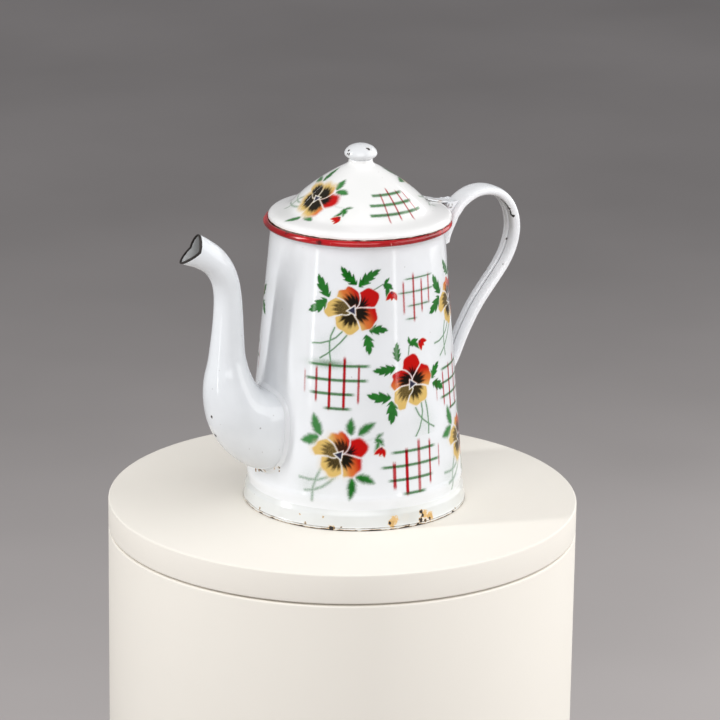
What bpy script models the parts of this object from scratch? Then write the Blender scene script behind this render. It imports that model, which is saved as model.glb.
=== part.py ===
"""An enamelled steel coffee pot with a gooseneck spout, a strap handle and a hinged lid.

The pot stands on its foot at z = 0. The spout points to -x, and the handle and the lid's
hinge are on the +x side. Lengths are in metres and every piece is its own object.
"""
import math

import bmesh
import bpy
from mathutils import Matrix, Vector

# Sheet metal, clearances and facets
SHEET = 0.0010
GAP = 0.0003
CUT_OVERRUN = 0.0060
BIG_STEPS = 44
SMALL_STEPS = 24
PIN_STEPS = 16
SHARP_ANGLE = math.radians(40)
MERGE_DISTANCE = 0.00001

# Conical wall and its lower turn
WALL_TOP_RADIUS = 0.0549
WALL_SPREAD = 0.0135
WALL_FOOT_HEIGHT = 0.0225
TURN_BULGE = 0.0006
# Down the turn: how far from its top to the skirt, and how much of the bulge is there
TURN_SHARES = ((0.28, 0.90), (0.50, 1.00), (0.74, 0.55))
SKIRT_INSET = 0.0002
SKIRT_TOP = 0.0140
SKIRT_BOTTOM = 0.0012

# Rolled rim: a tube of thin sheet round a wire, gripping the wall's flared edge
RIM_HEIGHT = 0.1818
RIM_FLARE = 0.0025
FLARE_DROP = 0.0048
FLARE_SHARES = (0.0, 0.35, 0.7, 1.0)
BEAD_RADIUS = 0.0020
BEAD_SHEET = 0.0006
BEAD_POINTS = 7
BEAD_SLIT_ANGLE = math.radians(225)
WIRE_RADIUS = 0.0009
WIRE_SIDES = 6

# Foot band and bottom
BAND_SHEET = 0.0014
BAND_SPREAD = 0.0011
BAND_HEIGHT = 0.0098
BAND_LIP = 0.0019
BAND_ROUNDING = 0.0006
BAND_WAIST_SHARES = (0.45, 0.25)
PAN_HEIGHT = 0.0095
PAN_FILLET = 0.0035
PAN_FILLET_ANGLES = (90, 60, 30, 0)
PAN_SKIRT_BOTTOM = 0.0016

# Spout
SPOUT_SPAN = 0.0574
SPOUT_OVER_RIM = 0.0035
SPOUT_ROOT_RADIUS = 0.0240
SPOUT_OVER_FOOT = 0.0071
SPOUT_SIDES = 20
SPOUT_STEPS = 2
WELD_RADIUS = 0.0009
WELD_SPREAD_SHARE = 1.3
WELD_POINTS = 32

# Spout stations from the root to past the mouth: how far out and how high as shares of the
# reach and the rise, the radius as a share of the root's, the section's tilt in degrees, and
# its width across as a share of its radius
SPOUT_STATION_SHARES = (
    (-0.122, 0.000, 0.975, 0.0, 1.00),
    (0.036, 0.003, 1.008, 4.1, 1.00),
    (0.158, 0.030, 1.025, 12.2, 0.98),
    (0.283, 0.080, 0.975, 23.6, 0.98),
    (0.390, 0.155, 0.875, 37.9, 0.98),
    (0.445, 0.238, 0.738, 52.4, 0.98),
    (0.460, 0.312, 0.625, 63.7, 0.96),
    (0.447, 0.385, 0.500, 76.7, 0.98),
    (0.434, 0.497, 0.425, 88.0, 1.00),
    (0.429, 0.611, 0.383, 88.0, 1.00),
    (0.441, 0.705, 0.362, 77.0, 1.00),
    (0.486, 0.784, 0.362, 59.0, 1.00),
    (0.585, 0.853, 0.375, 42.0, 0.97),
    (0.730, 0.902, 0.400, 31.0, 0.90),
    (0.902, 0.939, 0.438, 24.0, 0.80),
    (1.120, 0.979, 0.467, 22.0, 0.74),
)
# The mouth is a notch seen from the side: its fold, its upper tip and its pouring lip
MOUTH_FOLD_SHARES = (0.815, 0.933)
MOUTH_TIP_SHARES = (0.784, 1.000)
MOUTH_LIP_SHARES = (1.000, 0.871)
MOUTH_CUT_SHARE = 5.0

# Strainer punched through the wall behind the spout
STRAINER_HOLE_RADIUS = 0.0017
STRAINER_PITCH = 0.0064
STRAINER_RINGS = 2
STRAINER_SIDES = 8

# Lid
LID_SET_BACK = 0.0015
LID_OVERHANG = 0.0003
LID_RISE = 0.0378
COLLAR_DEPTH = 0.0075
COLLAR_PLAY = 0.0021
COLLAR_FLANGE = 0.0034
COLLAR_SHEET = 0.0008
# Lid outline from the top of the neck down to the brim's edge: radius and height as shares
LID_OUTLINE_SHARES = (
    (0.112, 1.000),
    (0.130, 0.984),
    (0.136, 0.940),
    (0.160, 0.900),
    (0.208, 0.862),
    (0.338, 0.742),
    (0.475, 0.600),
    (0.596, 0.455),
    (0.690, 0.322),
    (0.737, 0.247),
    (0.775, 0.195),
    (0.825, 0.160),
    (0.944, 0.117),
    (0.982, 0.085),
    (0.999, 0.045),
    (1.000, 0.000),
)

# Knob, its peened stem and the washer under the neck
KNOB_RADIUS = 0.0104
KNOB_HEIGHT = 0.0093
STEM_RADIUS = 0.0022
STEM_PLAY = 0.0004
STEM_HEAD_SPREAD = 0.0011
STEM_HEAD_HEIGHT = 0.0013
WASHER_SPREAD = 0.0017
WASHER_SHEET = 0.0008
# Knob outline from its top to its underside: radius and height as shares
KNOB_OUTLINE_SHARES = (
    (0.000, 1.000),
    (0.260, 0.978),
    (0.500, 0.905),
    (0.730, 0.780),
    (0.900, 0.600),
    (0.985, 0.410),
    (0.990, 0.270),
    (0.910, 0.130),
    (0.780, 0.040),
    (0.690, 0.000),
)

# Hinge between the lid and the handle
PIN_RADIUS = 0.0010
PIN_PLAY = 0.00025
PIN_HEAD_RADIUS = 0.0017
PIN_HEAD_HEIGHT = 0.0006
HINGE_CLEARANCE = 0.0019
HINGE_RISE = 0.0023
HINGE_TILT = math.radians(52)
LEAF_SHEET = 0.0008
LEAF_WIDTH = 0.0096
LEAF_BRIM_SHARES = (0.80, 0.86, 0.92, 0.96)
BARREL_START = math.radians(95)
BARREL_END = math.radians(-195)
BARREL_POINTS = 10
BRACKET_SHEET = 0.0010
BRACKET_LENGTH = 0.0095
EAR_RADIUS = 0.0022
EAR_POINTS = 9

# Strap handle: a channel whose edges are rolled in, with its closed side out
HANDLE_ROOT_DROP = 0.0195
HANDLE_SPAN = 0.0435
HANDLE_ARCH_RISE = 0.0062
HANDLE_FOOT_SHARE = 0.429
HANDLE_ELBOW_SHARE = 0.774
HANDLE_SEAT_SHARE = 0.4
HANDLE_LANDING = 0.0125
HANDLE_ROOT_WIDTH = 0.0185
HANDLE_FOOT_WIDTH = 0.0150
HANDLE_ROOT_DEPTH = 0.0066
HANDLE_FOOT_DEPTH = 0.0054
HANDLE_SHEET = 0.0009
HANDLE_GROOVE = 0.0018
HANDLE_LIP = 0.0009
HANDLE_SECTION_POINTS = 11
HANDLE_SQUARENESS = 2.6
HANDLE_SLANT_SHARE = 0.45
# Middle line of the strap: root to hinge, hinge to top, top to elbow, elbow to foot
HANDLE_ROOT_SHARES = ((0.000, 0.000), (0.126, 0.250), (0.479, 0.577), (0.860, 0.875))
HANDLE_ARCH_SHARES = ((0.054, 0.253), (0.176, 0.680), (0.317, 0.947), (0.470, 1.000))
HANDLE_TURN_SHARES = ((0.628, 0.946), (0.774, 0.815), (0.891, 0.598), (0.968, 0.320))
HANDLE_FALL_SHARES = (
    (1.000, 1.000),
    (0.982, 0.909),
    (0.929, 0.822),
    (0.847, 0.740),
    (0.745, 0.664),
    (0.618, 0.580),
    (0.494, 0.496),
    (0.385, 0.413),
    (0.292, 0.327),
    (0.208, 0.241),
    (0.139, 0.158),
    (0.074, 0.077),
)
HANDLE_LANDING_SHARES = (0.0, 0.35, 1.0)

# Places worked out from the sizes above
WALL_FOOT_RADIUS = WALL_TOP_RADIUS + WALL_SPREAD
SKIRT_RADIUS = WALL_FOOT_RADIUS - SKIRT_INSET
BAND_INSIDE = SKIRT_RADIUS + GAP
BAND_TOP_RADIUS = BAND_INSIDE + BAND_SHEET
FOOT_RADIUS = BAND_TOP_RADIUS + BAND_SPREAD
RIM_RADIUS = WALL_TOP_RADIUS + RIM_FLARE
WALL_TOP_HEIGHT = RIM_HEIGHT - FLARE_DROP
LID_RADIUS = RIM_RADIUS + LID_OVERHANG
COLLAR_RADIUS = RIM_RADIUS - BEAD_RADIUS - LID_SET_BACK - COLLAR_PLAY
NECK_HOLE_RADIUS = STEM_RADIUS + STEM_PLAY
STEM_HEAD_RADIUS = STEM_RADIUS + STEM_HEAD_SPREAD
WASHER_RADIUS = STEM_HEAD_RADIUS + WASHER_SPREAD
LID_BASE = RIM_HEIGHT + BEAD_RADIUS + GAP
NECK_TOP = LID_BASE + LID_RISE
KNOB_BASE = NECK_TOP + GAP
BARREL_MIDDLE = PIN_RADIUS + PIN_PLAY + LEAF_SHEET / 2
BARREL_RADIUS = BARREL_MIDDLE + LEAF_SHEET / 2
PIN_X = LID_SET_BACK + LID_RADIUS + HINGE_CLEARANCE + BARREL_RADIUS
PIN_Z = LID_BASE + HINGE_RISE
EAR_INSIDE = LEAF_WIDTH / 2 + GAP
EAR_OUTSIDE = EAR_INSIDE + BRACKET_SHEET
BRACKET_BASE = BARREL_RADIUS + GAP + BRACKET_SHEET
HINGE_SEAT = BRACKET_BASE + GAP + HANDLE_ROOT_DEPTH / 2
HINGE_SEAT_X = PIN_X + HINGE_SEAT * math.sin(HINGE_TILT)
HINGE_SEAT_Z = PIN_Z - HINGE_SEAT * math.cos(HINGE_TILT)
HANDLE_REACH = HINGE_SEAT_X + HANDLE_SPAN
HANDLE_TOP = PIN_Z + HANDLE_ARCH_RISE
HANDLE_ROOT_HEIGHT = RIM_HEIGHT - HANDLE_ROOT_DROP
HANDLE_FOOT_HEIGHT = RIM_HEIGHT * HANDLE_FOOT_SHARE
HANDLE_ELBOW_HEIGHT = HANDLE_FOOT_HEIGHT + (HANDLE_TOP - HANDLE_FOOT_HEIGHT) * HANDLE_ELBOW_SHARE
HANDLE_OUTSIDE = HANDLE_REACH + (HANDLE_ROOT_DEPTH + HANDLE_FOOT_DEPTH) / 4
SPOUT_ROOT_HEIGHT = WALL_FOOT_HEIGHT + SPOUT_ROOT_RADIUS + SPOUT_OVER_FOOT
SPOUT_TOP = RIM_HEIGHT + SPOUT_OVER_RIM
WALL_SLOPE = WALL_SPREAD / (WALL_TOP_HEIGHT - WALL_FOOT_HEIGHT)
SPOUT_SEAT_RADIUS = WALL_TOP_RADIUS + (WALL_TOP_HEIGHT - SPOUT_ROOT_HEIGHT) * WALL_SLOPE
SPOUT_REACH = SPOUT_SEAT_RADIUS + SPOUT_SPAN
FOOTPRINT_SHIFT = (SPOUT_REACH - HANDLE_OUTSIDE) / 2


def wall_radius(height):
    """Outer radius of the conical wall at a height."""
    return WALL_TOP_RADIUS + (WALL_TOP_HEIGHT - height) * WALL_SLOPE


def between(low, high, share):
    return low + (high - low) * share


def along_curve(rows, steps):
    """Rows of numbers read from a smooth curve through the given rows."""
    smooth = []
    last = len(rows) - 1
    for index in range(last):
        before = rows[max(index - 1, 0)]
        start = rows[index]
        end = rows[index + 1]
        after = rows[min(index + 2, last)]
        for step in range(steps):
            t = step / steps
            row = []
            for a, b, c, d in zip(before, start, end, after):
                pull = (c - a) * t
                bend = (2 * a - 5 * b + 4 * c - d) * t ** 2
                twist = (3 * b - a - 3 * c + d) * t ** 3
                row.append(b + (pull + bend + twist) / 2)
            smooth.append(tuple(row))
    smooth.append(tuple(rows[last]))
    return smooth


# Scene helpers

def clear_scene():
    for thing in list(bpy.data.objects):
        bpy.data.objects.remove(thing, do_unlink=True)
    for group in list(bpy.data.collections):
        bpy.data.collections.remove(group)


def new_collection(name):
    group = bpy.data.collections.new(name)
    bpy.context.scene.collection.children.link(group)
    return group


def finish(name, colour, roughness, metallic=0.0):
    """A plain finish for one piece."""
    material = bpy.data.materials.new(name + "_finish")
    material.use_nodes = True
    shader = material.node_tree.nodes["Principled BSDF"]
    shader.inputs["Base Color"].default_value = (*colour, 1.0)
    shader.inputs["Roughness"].default_value = roughness
    shader.inputs["Metallic"].default_value = metallic
    return material


def white_enamel(name):
    return finish(name, (0.80, 0.82, 0.84), 0.12)


def red_enamel(name):
    return finish(name, (0.50, 0.010, 0.015), 0.15)


def bare_steel(name):
    return finish(name, (0.24, 0.23, 0.22), 0.45, 0.9)


def add_object(name, mesh, material, parent=None):
    thing = bpy.data.objects.new(name, mesh)
    parts.objects.link(thing)
    mesh.materials.append(material)
    thing.parent = parent
    return thing


def add_cutter(name, bm):
    mesh = bpy.data.meshes.new(name)
    bm.to_mesh(mesh)
    bm.free()
    thing = bpy.data.objects.new(name, mesh)
    cutters.objects.link(thing)
    thing.hide_render = True
    thing.display_type = 'WIRE'
    thing.parent = pot
    return thing


def cut(thing, cutter):
    modifier = thing.modifiers.new("cut_" + cutter.name, 'BOOLEAN')
    modifier.operation = 'DIFFERENCE'
    modifier.solver = 'EXACT'
    modifier.object = cutter


def thicken(thing, sheet, offset):
    modifier = thing.modifiers.new("sheet", 'SOLIDIFY')
    modifier.thickness = sheet
    modifier.offset = offset
    modifier.use_even_offset = True


def settle(thing):
    """Applies the modifiers and shades the piece smooth between its real edges."""
    bpy.context.view_layer.update()
    shape = thing.evaluated_get(bpy.context.evaluated_depsgraph_get())
    mesh = bpy.data.meshes.new_from_object(shape)
    material = thing.data.materials[0]
    thing.modifiers.clear()
    thing.data = mesh
    mesh.materials.clear()
    mesh.materials.append(material)
    mesh.shade_smooth()
    mesh.set_sharp_from_angle(angle=SHARP_ANGLE)


def turned(name, outline, steps, material, parent=None, closed=False):
    """A shape turned about z from an outline of (radius, height), outer side running down."""
    bm = bmesh.new()
    points = [bm.verts.new((radius, 0.0, height)) for radius, height in outline]
    for first, second in zip(points, points[1:]):
        bm.edges.new((first, second))
    if closed:
        bm.edges.new((points[-1], points[0]))
    mesh = bpy.data.meshes.new(name)
    bm.to_mesh(mesh)
    bm.free()
    thing = add_object(name, mesh, material, parent)
    screw = thing.modifiers.new("turn", 'SCREW')
    screw.axis = 'Z'
    screw.steps = steps
    screw.render_steps = steps
    screw.use_merge_vertices = True
    screw.merge_threshold = MERGE_DISTANCE
    screw.use_smooth_shade = True
    return thing


def loft(name, rings, closed, material, parent=None):
    """A skin over rings of points, with its faces turned away from the rings' middles."""
    bm = bmesh.new()
    rows = [[bm.verts.new(point) for point in ring] for ring in rings]
    count = len(rows[0])
    spans = count if closed else count - 1
    for row, following in zip(rows, rows[1:]):
        for index in range(spans):
            beside = (index + 1) % count
            bm.faces.new((row[index], row[beside], following[beside], following[index]))
    bm.normal_update()
    middle = sum((vert.co for vert in rows[0]), Vector()) / count
    first = bm.faces[:][0] if not closed else next(iter(bm.faces))
    if first.normal.dot(first.calc_center_median() - middle) < 0.0:
        bmesh.ops.reverse_faces(bm, faces=bm.faces)
    mesh = bpy.data.meshes.new(name)
    bm.to_mesh(mesh)
    bm.free()
    return add_object(name, mesh, material, parent)


# Body, rim and foot

def body_outline():
    """Outside of the wall from its flared top edge down to the skirt's end."""
    reach = (WIRE_RADIUS + GAP) / math.sqrt(2)
    half = SHEET / 2 / math.sqrt(2)
    end = (RIM_RADIUS - reach + half, RIM_HEIGHT - reach - half)
    base = (WALL_TOP_RADIUS, WALL_TOP_HEIGHT)
    bend = (base[0], end[1] - (end[0] - base[0]))
    outline = []
    for t in FLARE_SHARES:
        outline.append(tuple(
            (1 - t) ** 2 * a + 2 * t * (1 - t) * b + t ** 2 * c
            for a, b, c in zip(end, bend, base)
        ))
    outline.append((wall_radius(WALL_FOOT_HEIGHT), WALL_FOOT_HEIGHT))
    for height_share, bulge_share in TURN_SHARES:
        height = between(WALL_FOOT_HEIGHT, SKIRT_TOP, height_share)
        plain = between(WALL_FOOT_RADIUS, SKIRT_RADIUS, height_share)
        outline.append((plain + TURN_BULGE * bulge_share, height))
    outline.append((SKIRT_RADIUS, SKIRT_TOP))
    outline.append((SKIRT_RADIUS, SKIRT_BOTTOM))
    return outline


def strainer_cutter():
    """Round punches in a hexagonal pattern, driven through the wall along x."""
    bm = bmesh.new()
    turn = Matrix.Rotation(math.radians(90), 4, 'Y')
    for across in range(-STRAINER_RINGS, STRAINER_RINGS + 1):
        for along in range(-STRAINER_RINGS, STRAINER_RINGS + 1):
            if abs(across + along) > STRAINER_RINGS:
                continue
            y = STRAINER_PITCH * (along + across / 2)
            z = SPOUT_ROOT_HEIGHT + STRAINER_PITCH * across * math.sin(math.radians(60))
            place = Matrix.Translation((-SPOUT_SEAT_RADIUS, y, z)) @ turn
            bmesh.ops.create_cone(
                bm, cap_ends=True, segments=STRAINER_SIDES, radius1=STRAINER_HOLE_RADIUS,
                radius2=STRAINER_HOLE_RADIUS, depth=2 * CUT_OVERRUN, matrix=place)
    return add_cutter("strainer_punches", bm)


def make_body():
    body = turned("body_shell", body_outline(), BIG_STEPS, white_enamel("body_shell"), pot)
    thicken(body, SHEET, -1)
    cut(body, strainer_cutter())
    settle(body)


def make_rim():
    opening = math.asin((SHEET / 2 + GAP) / (BEAD_RADIUS - BEAD_SHEET))
    start = BEAD_SLIT_ANGLE - opening
    sweep = 2 * math.pi - 2 * opening
    outline = []
    for index in range(BEAD_POINTS):
        angle = start - sweep * index / (BEAD_POINTS - 1)
        outline.append((RIM_RADIUS + BEAD_RADIUS * math.cos(angle), RIM_HEIGHT + BEAD_RADIUS * math.sin(angle)))
    bead = turned("rim_bead", outline, BIG_STEPS, red_enamel("rim_bead"), pot)
    thicken(bead, BEAD_SHEET, -1)
    settle(bead)
    circle = []
    for index in range(WIRE_SIDES):
        angle = -2 * math.pi * index / WIRE_SIDES
        circle.append((RIM_RADIUS + WIRE_RADIUS * math.cos(angle), RIM_HEIGHT + WIRE_RADIUS * math.sin(angle)))
    settle(turned("rim_wire", circle, BIG_STEPS, bare_steel("rim_wire"), pot, closed=True))


def make_foot():
    outline = [
        (BAND_TOP_RADIUS - BAND_ROUNDING, BAND_HEIGHT),
        (BAND_TOP_RADIUS, BAND_HEIGHT - BAND_ROUNDING),
        (between(BAND_TOP_RADIUS, FOOT_RADIUS, BAND_WAIST_SHARES[0]),
         between(BAND_LIP, BAND_HEIGHT, BAND_WAIST_SHARES[1])),
        (FOOT_RADIUS, BAND_LIP),
        (FOOT_RADIUS, BAND_ROUNDING),
        (FOOT_RADIUS - BAND_ROUNDING, 0.0),
        (BAND_INSIDE + BAND_ROUNDING, 0.0),
        (BAND_INSIDE, BAND_ROUNDING),
        (BAND_INSIDE, BAND_HEIGHT),
    ]
    settle(turned("foot_band", outline, BIG_STEPS, white_enamel("foot_band"), pot, closed=True))
    radius = SKIRT_RADIUS - SHEET - GAP
    outline = [(0.0, PAN_HEIGHT)]
    for angle in PAN_FILLET_ANGLES:
        swing = math.radians(angle)
        outline.append((
            radius - PAN_FILLET + PAN_FILLET * math.cos(swing),
            PAN_HEIGHT - PAN_FILLET + PAN_FILLET * math.sin(swing),
        ))
    outline.append((radius, PAN_SKIRT_BOTTOM))
    pan = turned("bottom_pan", outline, BIG_STEPS, white_enamel("bottom_pan"), pot)
    thicken(pan, SHEET, -1)
    settle(pan)


# Gooseneck spout

def spout_place(out_share, rise_share):
    """A point of the spout's side view, from shares of its reach and its rise."""
    return (
        -between(SPOUT_SEAT_RADIUS, SPOUT_REACH, out_share),
        between(SPOUT_ROOT_HEIGHT, SPOUT_TOP, rise_share),
    )


def spout_stations():
    """Middle, radius, tilt and side radius of each section along the spout."""
    stations = []
    for out, rise, radius, tilt, side in SPOUT_STATION_SHARES:
        x, z = spout_place(out, rise)
        size = SPOUT_ROOT_RADIUS * radius
        stations.append((x, z, size, math.radians(tilt), size * side))
    return stations


def spout_point(station, angle):
    x, z, radius, tilt, side = station
    down = radius * math.cos(angle)
    return Vector((x - down * math.sin(tilt), side * math.sin(angle), z - down * math.cos(tilt)))


def mouth_cutter():
    """A wedge seen from the side, which leaves a beak with an open notch."""
    fold = Vector(spout_place(*MOUTH_FOLD_SHARES))
    tip = fold + (Vector(spout_place(*MOUTH_TIP_SHARES)) - fold) * MOUTH_CUT_SHARE
    lip = fold + (Vector(spout_place(*MOUTH_LIP_SHARES)) - fold) * MOUTH_CUT_SHARE
    outer = lip.x - SPOUT_ROOT_RADIUS
    outline = (fold, tip, (outer, tip.y), (outer, lip.y), lip)
    bm = bmesh.new()
    near = [bm.verts.new((x, -SPOUT_ROOT_RADIUS, z)) for x, z in outline]
    face = bm.faces.new(near)
    moved = bmesh.ops.extrude_face_region(bm, geom=[face])["geom"]
    across = Vector((0.0, 2 * SPOUT_ROOT_RADIUS, 0.0))
    bmesh.ops.translate(bm, verts=[v for v in moved if isinstance(v, bmesh.types.BMVert)], vec=across)
    bmesh.ops.recalc_face_normals(bm, faces=bm.faces)
    return add_cutter("mouth_notch", bm)


def wall_core_cutter():
    """The space inside and just outside the conical wall."""
    low = -CUT_OVERRUN
    high = WALL_TOP_HEIGHT
    bm = bmesh.new()
    bmesh.ops.create_cone(
        bm, cap_ends=True, segments=BIG_STEPS, radius1=wall_radius(low) + GAP, radius2=wall_radius(high) + GAP,
        depth=high - low, matrix=Matrix.Translation((0.0, 0.0, (low + high) / 2)))
    return add_cutter("wall_core", bm)


def make_spout():
    stations = along_curve(spout_stations(), SPOUT_STEPS)
    rings = [
        [spout_point(station, 2 * math.pi * index / SPOUT_SIDES) for index in range(SPOUT_SIDES)]
        for station in stations
    ]
    spout = loft("spout", rings, True, white_enamel("spout"), pot)
    thicken(spout, SHEET, -1)
    cut(spout, wall_core_cutter())
    cut(spout, mouth_cutter())
    settle(spout)


def wall_crossing(angle):
    """Where one lengthwise line of the spout meets the conical wall."""
    inner, outer = (spout_point(station, angle) for station in spout_stations()[:2])
    low, high = 0.0, 1.5
    for _ in range(30):
        middle = (low + high) / 2
        point = inner.lerp(outer, middle)
        if math.hypot(point.x, point.y) < wall_radius(point.z):
            low = middle
        else:
            high = middle
    return inner.lerp(outer, low)


def make_weld():
    """The weld bead round the spout's root."""
    curve = bpy.data.curves.new("spout_weld", 'CURVE')
    curve.dimensions = '3D'
    curve.bevel_depth = WELD_RADIUS
    curve.bevel_resolution = 2
    line = curve.splines.new('POLY')
    line.points.add(WELD_POINTS - 1)
    line.use_cyclic_u = True
    clear = (WELD_RADIUS + GAP) * WELD_SPREAD_SHARE
    for index, point in enumerate(line.points):
        angle = 2 * math.pi * index / WELD_POINTS
        meeting = wall_crossing(angle)
        away = Vector((0.0, math.sin(angle), -math.cos(angle)))
        place = meeting + away * clear
        around = math.atan2(place.y, place.x)
        radius = wall_radius(place.z) + WELD_RADIUS + GAP
        point.co = (radius * math.cos(around), radius * math.sin(around), place.z, 1.0)
    thing = bpy.data.objects.new("spout_weld", curve)
    parts.objects.link(thing)
    curve.materials.append(white_enamel("spout_weld"))
    thing.parent = pot


# Strap handle

def handle_depth(share):
    return between(HANDLE_ROOT_DEPTH, HANDLE_FOOT_DEPTH, share)


def handle_line():
    """Middle line of the strap in the side view, from its root under the rim to its foot."""
    root = (wall_radius(HANDLE_ROOT_HEIGHT) + GAP + HANDLE_ROOT_DEPTH / 2, HANDLE_ROOT_HEIGHT)
    along = BRACKET_LENGTH * HANDLE_SEAT_SHARE
    step = (along * math.cos(HINGE_TILT), along * math.sin(HINGE_TILT))
    before = (HINGE_SEAT_X - step[0], HINGE_SEAT_Z - step[1])
    after = (HINGE_SEAT_X + step[0], HINGE_SEAT_Z + step[1])
    foot = (wall_radius(HANDLE_FOOT_HEIGHT) + GAP + HANDLE_FOOT_DEPTH / 2, HANDLE_FOOT_HEIGHT)
    line = [(between(root[0], before[0], x), between(root[1], before[1], z)) for x, z in HANDLE_ROOT_SHARES]
    line += [before, (HINGE_SEAT_X, HINGE_SEAT_Z), after]
    line += [
        (between(after[0], HANDLE_REACH, x), between(after[1], HANDLE_TOP, z))
        for x, z in HANDLE_ARCH_SHARES
    ]
    line += [
        (between(after[0], HANDLE_REACH, x), between(HANDLE_ELBOW_HEIGHT, HANDLE_TOP, z))
        for x, z in HANDLE_TURN_SHARES
    ]
    line += [
        (between(foot[0], HANDLE_REACH, x), between(foot[1], HANDLE_ELBOW_HEIGHT, z))
        for x, z in HANDLE_FALL_SHARES
    ]
    for share in HANDLE_LANDING_SHARES:
        height = HANDLE_FOOT_HEIGHT - HANDLE_LANDING * share
        line.append((wall_radius(height) + GAP + HANDLE_FOOT_DEPTH / 2, height))
    return line


def channel_section(width, depth):
    """Middle of the sheet across the strap: a flattened ring, open along the groove."""
    half_width = (width - HANDLE_SHEET) / 2
    half_depth = (depth - HANDLE_SHEET) / 2
    edge = HANDLE_GROOVE / 2 + HANDLE_SHEET / 2
    power = 2 / HANDLE_SQUARENESS
    start = math.asin(((edge + HANDLE_LIP / 2) / half_width) ** (1 / power))
    section = [(edge, HANDLE_LIP - half_depth)]
    for index in range(HANDLE_SECTION_POINTS):
        angle = start + (2 * math.pi - 2 * start) * index / (HANDLE_SECTION_POINTS - 1)
        across = math.copysign(abs(math.sin(angle)) ** power, math.sin(angle))
        out = -math.copysign(abs(math.cos(angle)) ** power, math.cos(angle))
        section.append((half_width * across, half_depth * out))
    section.append((-edge, HANDLE_LIP - half_depth))
    return section


def make_handle():
    line = [Vector(point) for point in handle_line()]
    last = len(line) - 1
    rings = []
    for index, point in enumerate(line):
        ahead = (line[min(index + 1, last)] - line[max(index - 1, 0)]).normalized()
        outward = Vector((-ahead.y, ahead.x))
        share = index / last
        width = between(HANDLE_ROOT_WIDTH, HANDLE_FOOT_WIDTH, share)
        slant = HANDLE_SLANT_SHARE if index == 0 else 0.0
        ring = []
        for across, out in channel_section(width, handle_depth(share)):
            place = point + outward * out - ahead * out * slant
            ring.append((place.x, across, place.y))
        rings.append(ring)
    strap = loft("handle_strap", rings, False, white_enamel("handle_strap"), pot)
    thicken(strap, HANDLE_SHEET, 0)
    settle(strap)


# Lid

def lid_outline():
    """Outside of the lid from the hole in its neck down to the brim's edge."""
    outline = [(NECK_HOLE_RADIUS, NECK_TOP)]
    outline += [(LID_RADIUS * radius, LID_BASE + LID_RISE * rise) for radius, rise in LID_OUTLINE_SHARES]
    return outline


def lid_height(radius):
    """Height of the lid's outside at a distance from its axis."""
    outline = lid_outline()
    for (inner, high), (outer, low) in zip(outline, outline[1:]):
        if inner <= radius <= outer:
            return between(high, low, (radius - inner) / (outer - inner))
    return LID_BASE


def lid_parent():
    """An empty on the hinge's axis carries every piece that swings with the lid."""
    axis = bpy.data.objects.new("lid_hinge_axis", None)
    parts.objects.link(axis)
    axis.parent = pot
    axis.location = (PIN_X, 0.0, PIN_Z)
    return axis


def on_lid(thing, hinge, offset=0.0):
    """Hangs a piece built about the pot's axis on the hinge, set back by an offset."""
    thing.parent = hinge
    thing.location = (offset - PIN_X, 0.0, -PIN_Z)


def make_lid(hinge):
    shell = turned("lid_shell", lid_outline(), BIG_STEPS, white_enamel("lid_shell"))
    thicken(shell, SHEET, -1)
    settle(shell)
    on_lid(shell, hinge, LID_SET_BACK)

    under = SHEET + GAP
    inner = COLLAR_RADIUS - COLLAR_FLANGE
    corner = COLLAR_RADIUS - COLLAR_SHEET
    outline = [
        (inner, lid_height(inner) - 2 * under),
        (corner, lid_height(COLLAR_RADIUS) - 2 * under),
        (COLLAR_RADIUS, lid_height(COLLAR_RADIUS) - 2 * under - COLLAR_SHEET),
        (COLLAR_RADIUS, LID_BASE - COLLAR_DEPTH),
    ]
    collar = turned("lid_collar", outline, BIG_STEPS, white_enamel("lid_collar"))
    thicken(collar, COLLAR_SHEET, -1)
    settle(collar)
    on_lid(collar, hinge, LID_SET_BACK)


def make_knob(hinge):
    under_neck = NECK_TOP - SHEET - GAP
    washer_low = under_neck - WASHER_SHEET
    head_top = washer_low - GAP
    head_low = head_top - STEM_HEAD_HEIGHT
    outline = [(KNOB_RADIUS * radius, KNOB_BASE + KNOB_HEIGHT * rise) for radius, rise in KNOB_OUTLINE_SHARES]
    outline += [
        (STEM_RADIUS, KNOB_BASE),
        (STEM_RADIUS, head_top),
        (STEM_HEAD_RADIUS, head_top),
        (STEM_HEAD_RADIUS, head_low),
        (0.0, head_low),
    ]
    knob = turned("lid_knob", outline, SMALL_STEPS, white_enamel("lid_knob"))
    settle(knob)
    on_lid(knob, hinge, LID_SET_BACK)

    hole = STEM_RADIUS + GAP
    ring = [(hole, under_neck), (WASHER_RADIUS, under_neck), (WASHER_RADIUS, washer_low), (hole, washer_low)]
    washer = turned("knob_washer", ring, SMALL_STEPS, bare_steel("knob_washer"), closed=True)
    settle(washer)
    on_lid(washer, hinge, LID_SET_BACK)


# Hinge

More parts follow.
